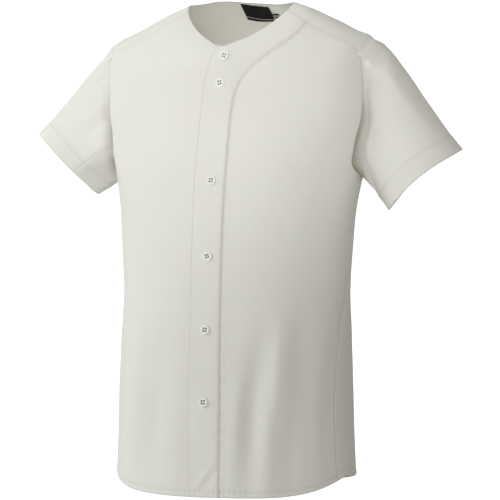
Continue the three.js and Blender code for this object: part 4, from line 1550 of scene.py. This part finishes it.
class JERSEY_OT_studio(bpy.types.Operator):
    """Set the paper floor and backdrop, the soft lights and the camera"""

    bl_idname = "jersey.studio"
    bl_label = "Studio"

    def execute(self, context):
        studio = context.scene.jersey_studio
        floor_paper = studio_material("floor_paper", studio.paper_colour, 0)
        backdrop_paper = studio_material("backdrop_paper", studio.paper_colour, studio.paper_glow)
        paper_floor(floor_paper)
        paper_backdrop(backdrop_paper)
        key = area_light("key", (-2.4, -1.35, 0.92), JERSEY_MIDDLE, 1.5, studio.key_power)
        key.data.color = KEY_COLOUR
        area_light("fill", (0.6, -4.25, 0.2), JERSEY_MIDDLE, 2.6, studio.fill_power)
        area_light("top", (-0.3, 0.5, 2.4), JERSEY_MIDDLE, 1.8, studio.fill_power * TOP_SHARE)
        area_light("upper", (1.5, -2.3, 0.1), (0.09, -0.08, -0.13), 0.6, studio.upper_power, spread=12)
        glow = area_light("inner", (0, -0.02, -0.22), (0, 0.06, -0.01), 0.12, studio.inner_power)
        glow.data.color = INNER_COLOUR
        glow.visible_camera = False
        world = bpy.data.worlds.new("studio_air")
        world.use_nodes = True
        air = world.node_tree.nodes["Background"].inputs
        air["Color"].default_value = AIR_COLOUR
        air["Strength"].default_value = AIR_STRENGTH
        context.scene.world = world
        context.scene.view_settings.view_transform = "Standard"
        photograph_camera()
        return {"FINISHED"}


def paper_floor(material):
    """A round of paper on the floor under the jersey."""
    bpy.ops.object.select_all(action="DESELECT")
    bpy.ops.mesh.primitive_circle_add(
        vertices=96, radius=FLOOR_RADIUS, fill_type="NGON", location=(0, 0, FLOOR_LEVEL)
    )
    obj = bpy.context.object
    obj.name = "paper_floor"
    bpy.ops.object.transform_apply(location=True)
    obj.data.materials.append(material)
    return obj


def paper_backdrop(material):
    """A sheet of paper far behind the jersey, square to the camera."""
    bpy.ops.object.select_all(action="DESELECT")
    bpy.ops.mesh.primitive_plane_add(
        size=BACKDROP_SIZE,
        location=(
            -BACKDROP_DISTANCE * math.sin(VIEW_TURN), BACKDROP_DISTANCE * math.cos(VIEW_TURN), EYE_LEVEL,
        ),
        rotation=(math.radians(90), 0, VIEW_TURN),
    )
    obj = bpy.context.object
    obj.name = "paper_backdrop"
    bpy.ops.object.transform_apply(location=True, rotation=True)
    obj.data.materials.append(material)
    return obj


def area_light(name, place, target, size, power, spread=180):
    """A round soft light at a place, aimed at a target."""
    data = bpy.data.lights.new(name, "AREA")
    data.shape = "DISK"
    data.size = size
    data.energy = power
    data.spread = math.radians(spread)
    light = bpy.data.objects.new(name, data)
    bpy.context.scene.collection.objects.link(light)
    light.location = place
    aim = Vector(target) - Vector(place)
    light.rotation_euler = aim.to_track_quat("-Z", "Y").to_euler()
    return light


def photograph_camera():
    """A long lens level with the middle of the jersey, and round to its left."""
    right = Vector((math.cos(VIEW_TURN), math.sin(VIEW_TURN), 0))
    back = Vector((math.sin(VIEW_TURN), -math.cos(VIEW_TURN), 0))
    data = bpy.data.cameras.new("photograph")
    data.lens = LENS
    data.sensor_width = SENSOR
    camera = bpy.data.objects.new("photograph", data)
    bpy.context.scene.collection.objects.link(camera)
    camera.location = back * CAMERA_DISTANCE + right * CAMERA_SHIFT + Vector((0, 0, EYE_LEVEL))
    camera.rotation_euler = (-back).to_track_quat("-Z", "Y").to_euler()
    bpy.context.scene.camera = camera


class JERSEY_PT_sewing_room(bpy.types.Panel):
    """The jersey's settings and the steps that make it"""

    bl_idname = "JERSEY_PT_sewing_room"
    bl_label = "Baseball Jersey"
    bl_space_type = "VIEW_3D"
    bl_region_type = "UI"
    bl_category = "Jersey"

    def draw(self, context):
        for name in SETTINGS:
            group = getattr(context.scene, name)
            box = self.layout.box()
            for key in group.__annotations__:
                box.prop(group, key)
        for operator in OPERATORS:
            self.layout.operator(operator.bl_idname)


# The labels in millimetres: middle and width along the neckline, height, slant and distance below
# the neckline. The pale band lies between two distances below the label's upper edge, in metres.
LABELS = {
    "neck_label": {
        "middle": 2, "width": 47, "height": 29, "slant": 4, "drop": 4,
        "band": (0.0245, 0.0258), "slot": "label",
    },
    "size_tag": {
        "middle": 33, "width": 12, "height": 9, "slant": 1, "drop": 21,
        "band": (0.0028, 0.0062), "slot": "tag",
    },
}
# How far inside the back's cloth the labels lie, and how far they lean sideways over their height
LABEL_INSET = 2.4
LABEL_LEAN = 5
# Width of one weft rib of the labels, in metres
RIB_WIDTH = 0.0005

SETTINGS = {
    "jersey_cloth": JerseyClothSettings,
    "jersey_sewing": JerseySewingSettings,
    "jersey_buttons": JerseyButtonSettings,
    "jersey_labels": JerseyLabelSettings,
    "jersey_studio": JerseyStudioSettings,
}
OPERATORS = (
    JERSEY_OT_fronts,
    JERSEY_OT_back,
    JERSEY_OT_sides,
    JERSEY_OT_sleeves,
    JERSEY_OT_topstitching,
    JERSEY_OT_buttons,
    JERSEY_OT_labels,
    JERSEY_OT_studio,
)


def register():
    for name, group in SETTINGS.items():
        bpy.utils.register_class(group)
        setattr(bpy.types.Scene, name, bpy.props.PointerProperty(type=group))
    for operator in OPERATORS:
        bpy.utils.register_class(operator)
    bpy.utils.register_class(JERSEY_PT_sewing_room)


def unregister():
    bpy.utils.unregister_class(JERSEY_PT_sewing_room)
    for operator in reversed(OPERATORS):
        bpy.utils.unregister_class(operator)
    for name, group in reversed(SETTINGS.items()):
        delattr(bpy.types.Scene, name)
        bpy.utils.unregister_class(group)


def main():
    register()
    bpy.ops.jersey.fronts()
    bpy.ops.jersey.back()
    bpy.ops.jersey.sides()
    bpy.ops.jersey.sleeves()
    bpy.ops.jersey.topstitching()
    bpy.ops.jersey.buttons()
    bpy.ops.jersey.labels()
    bpy.ops.jersey.studio()


if __name__ == "__main__":
    main()
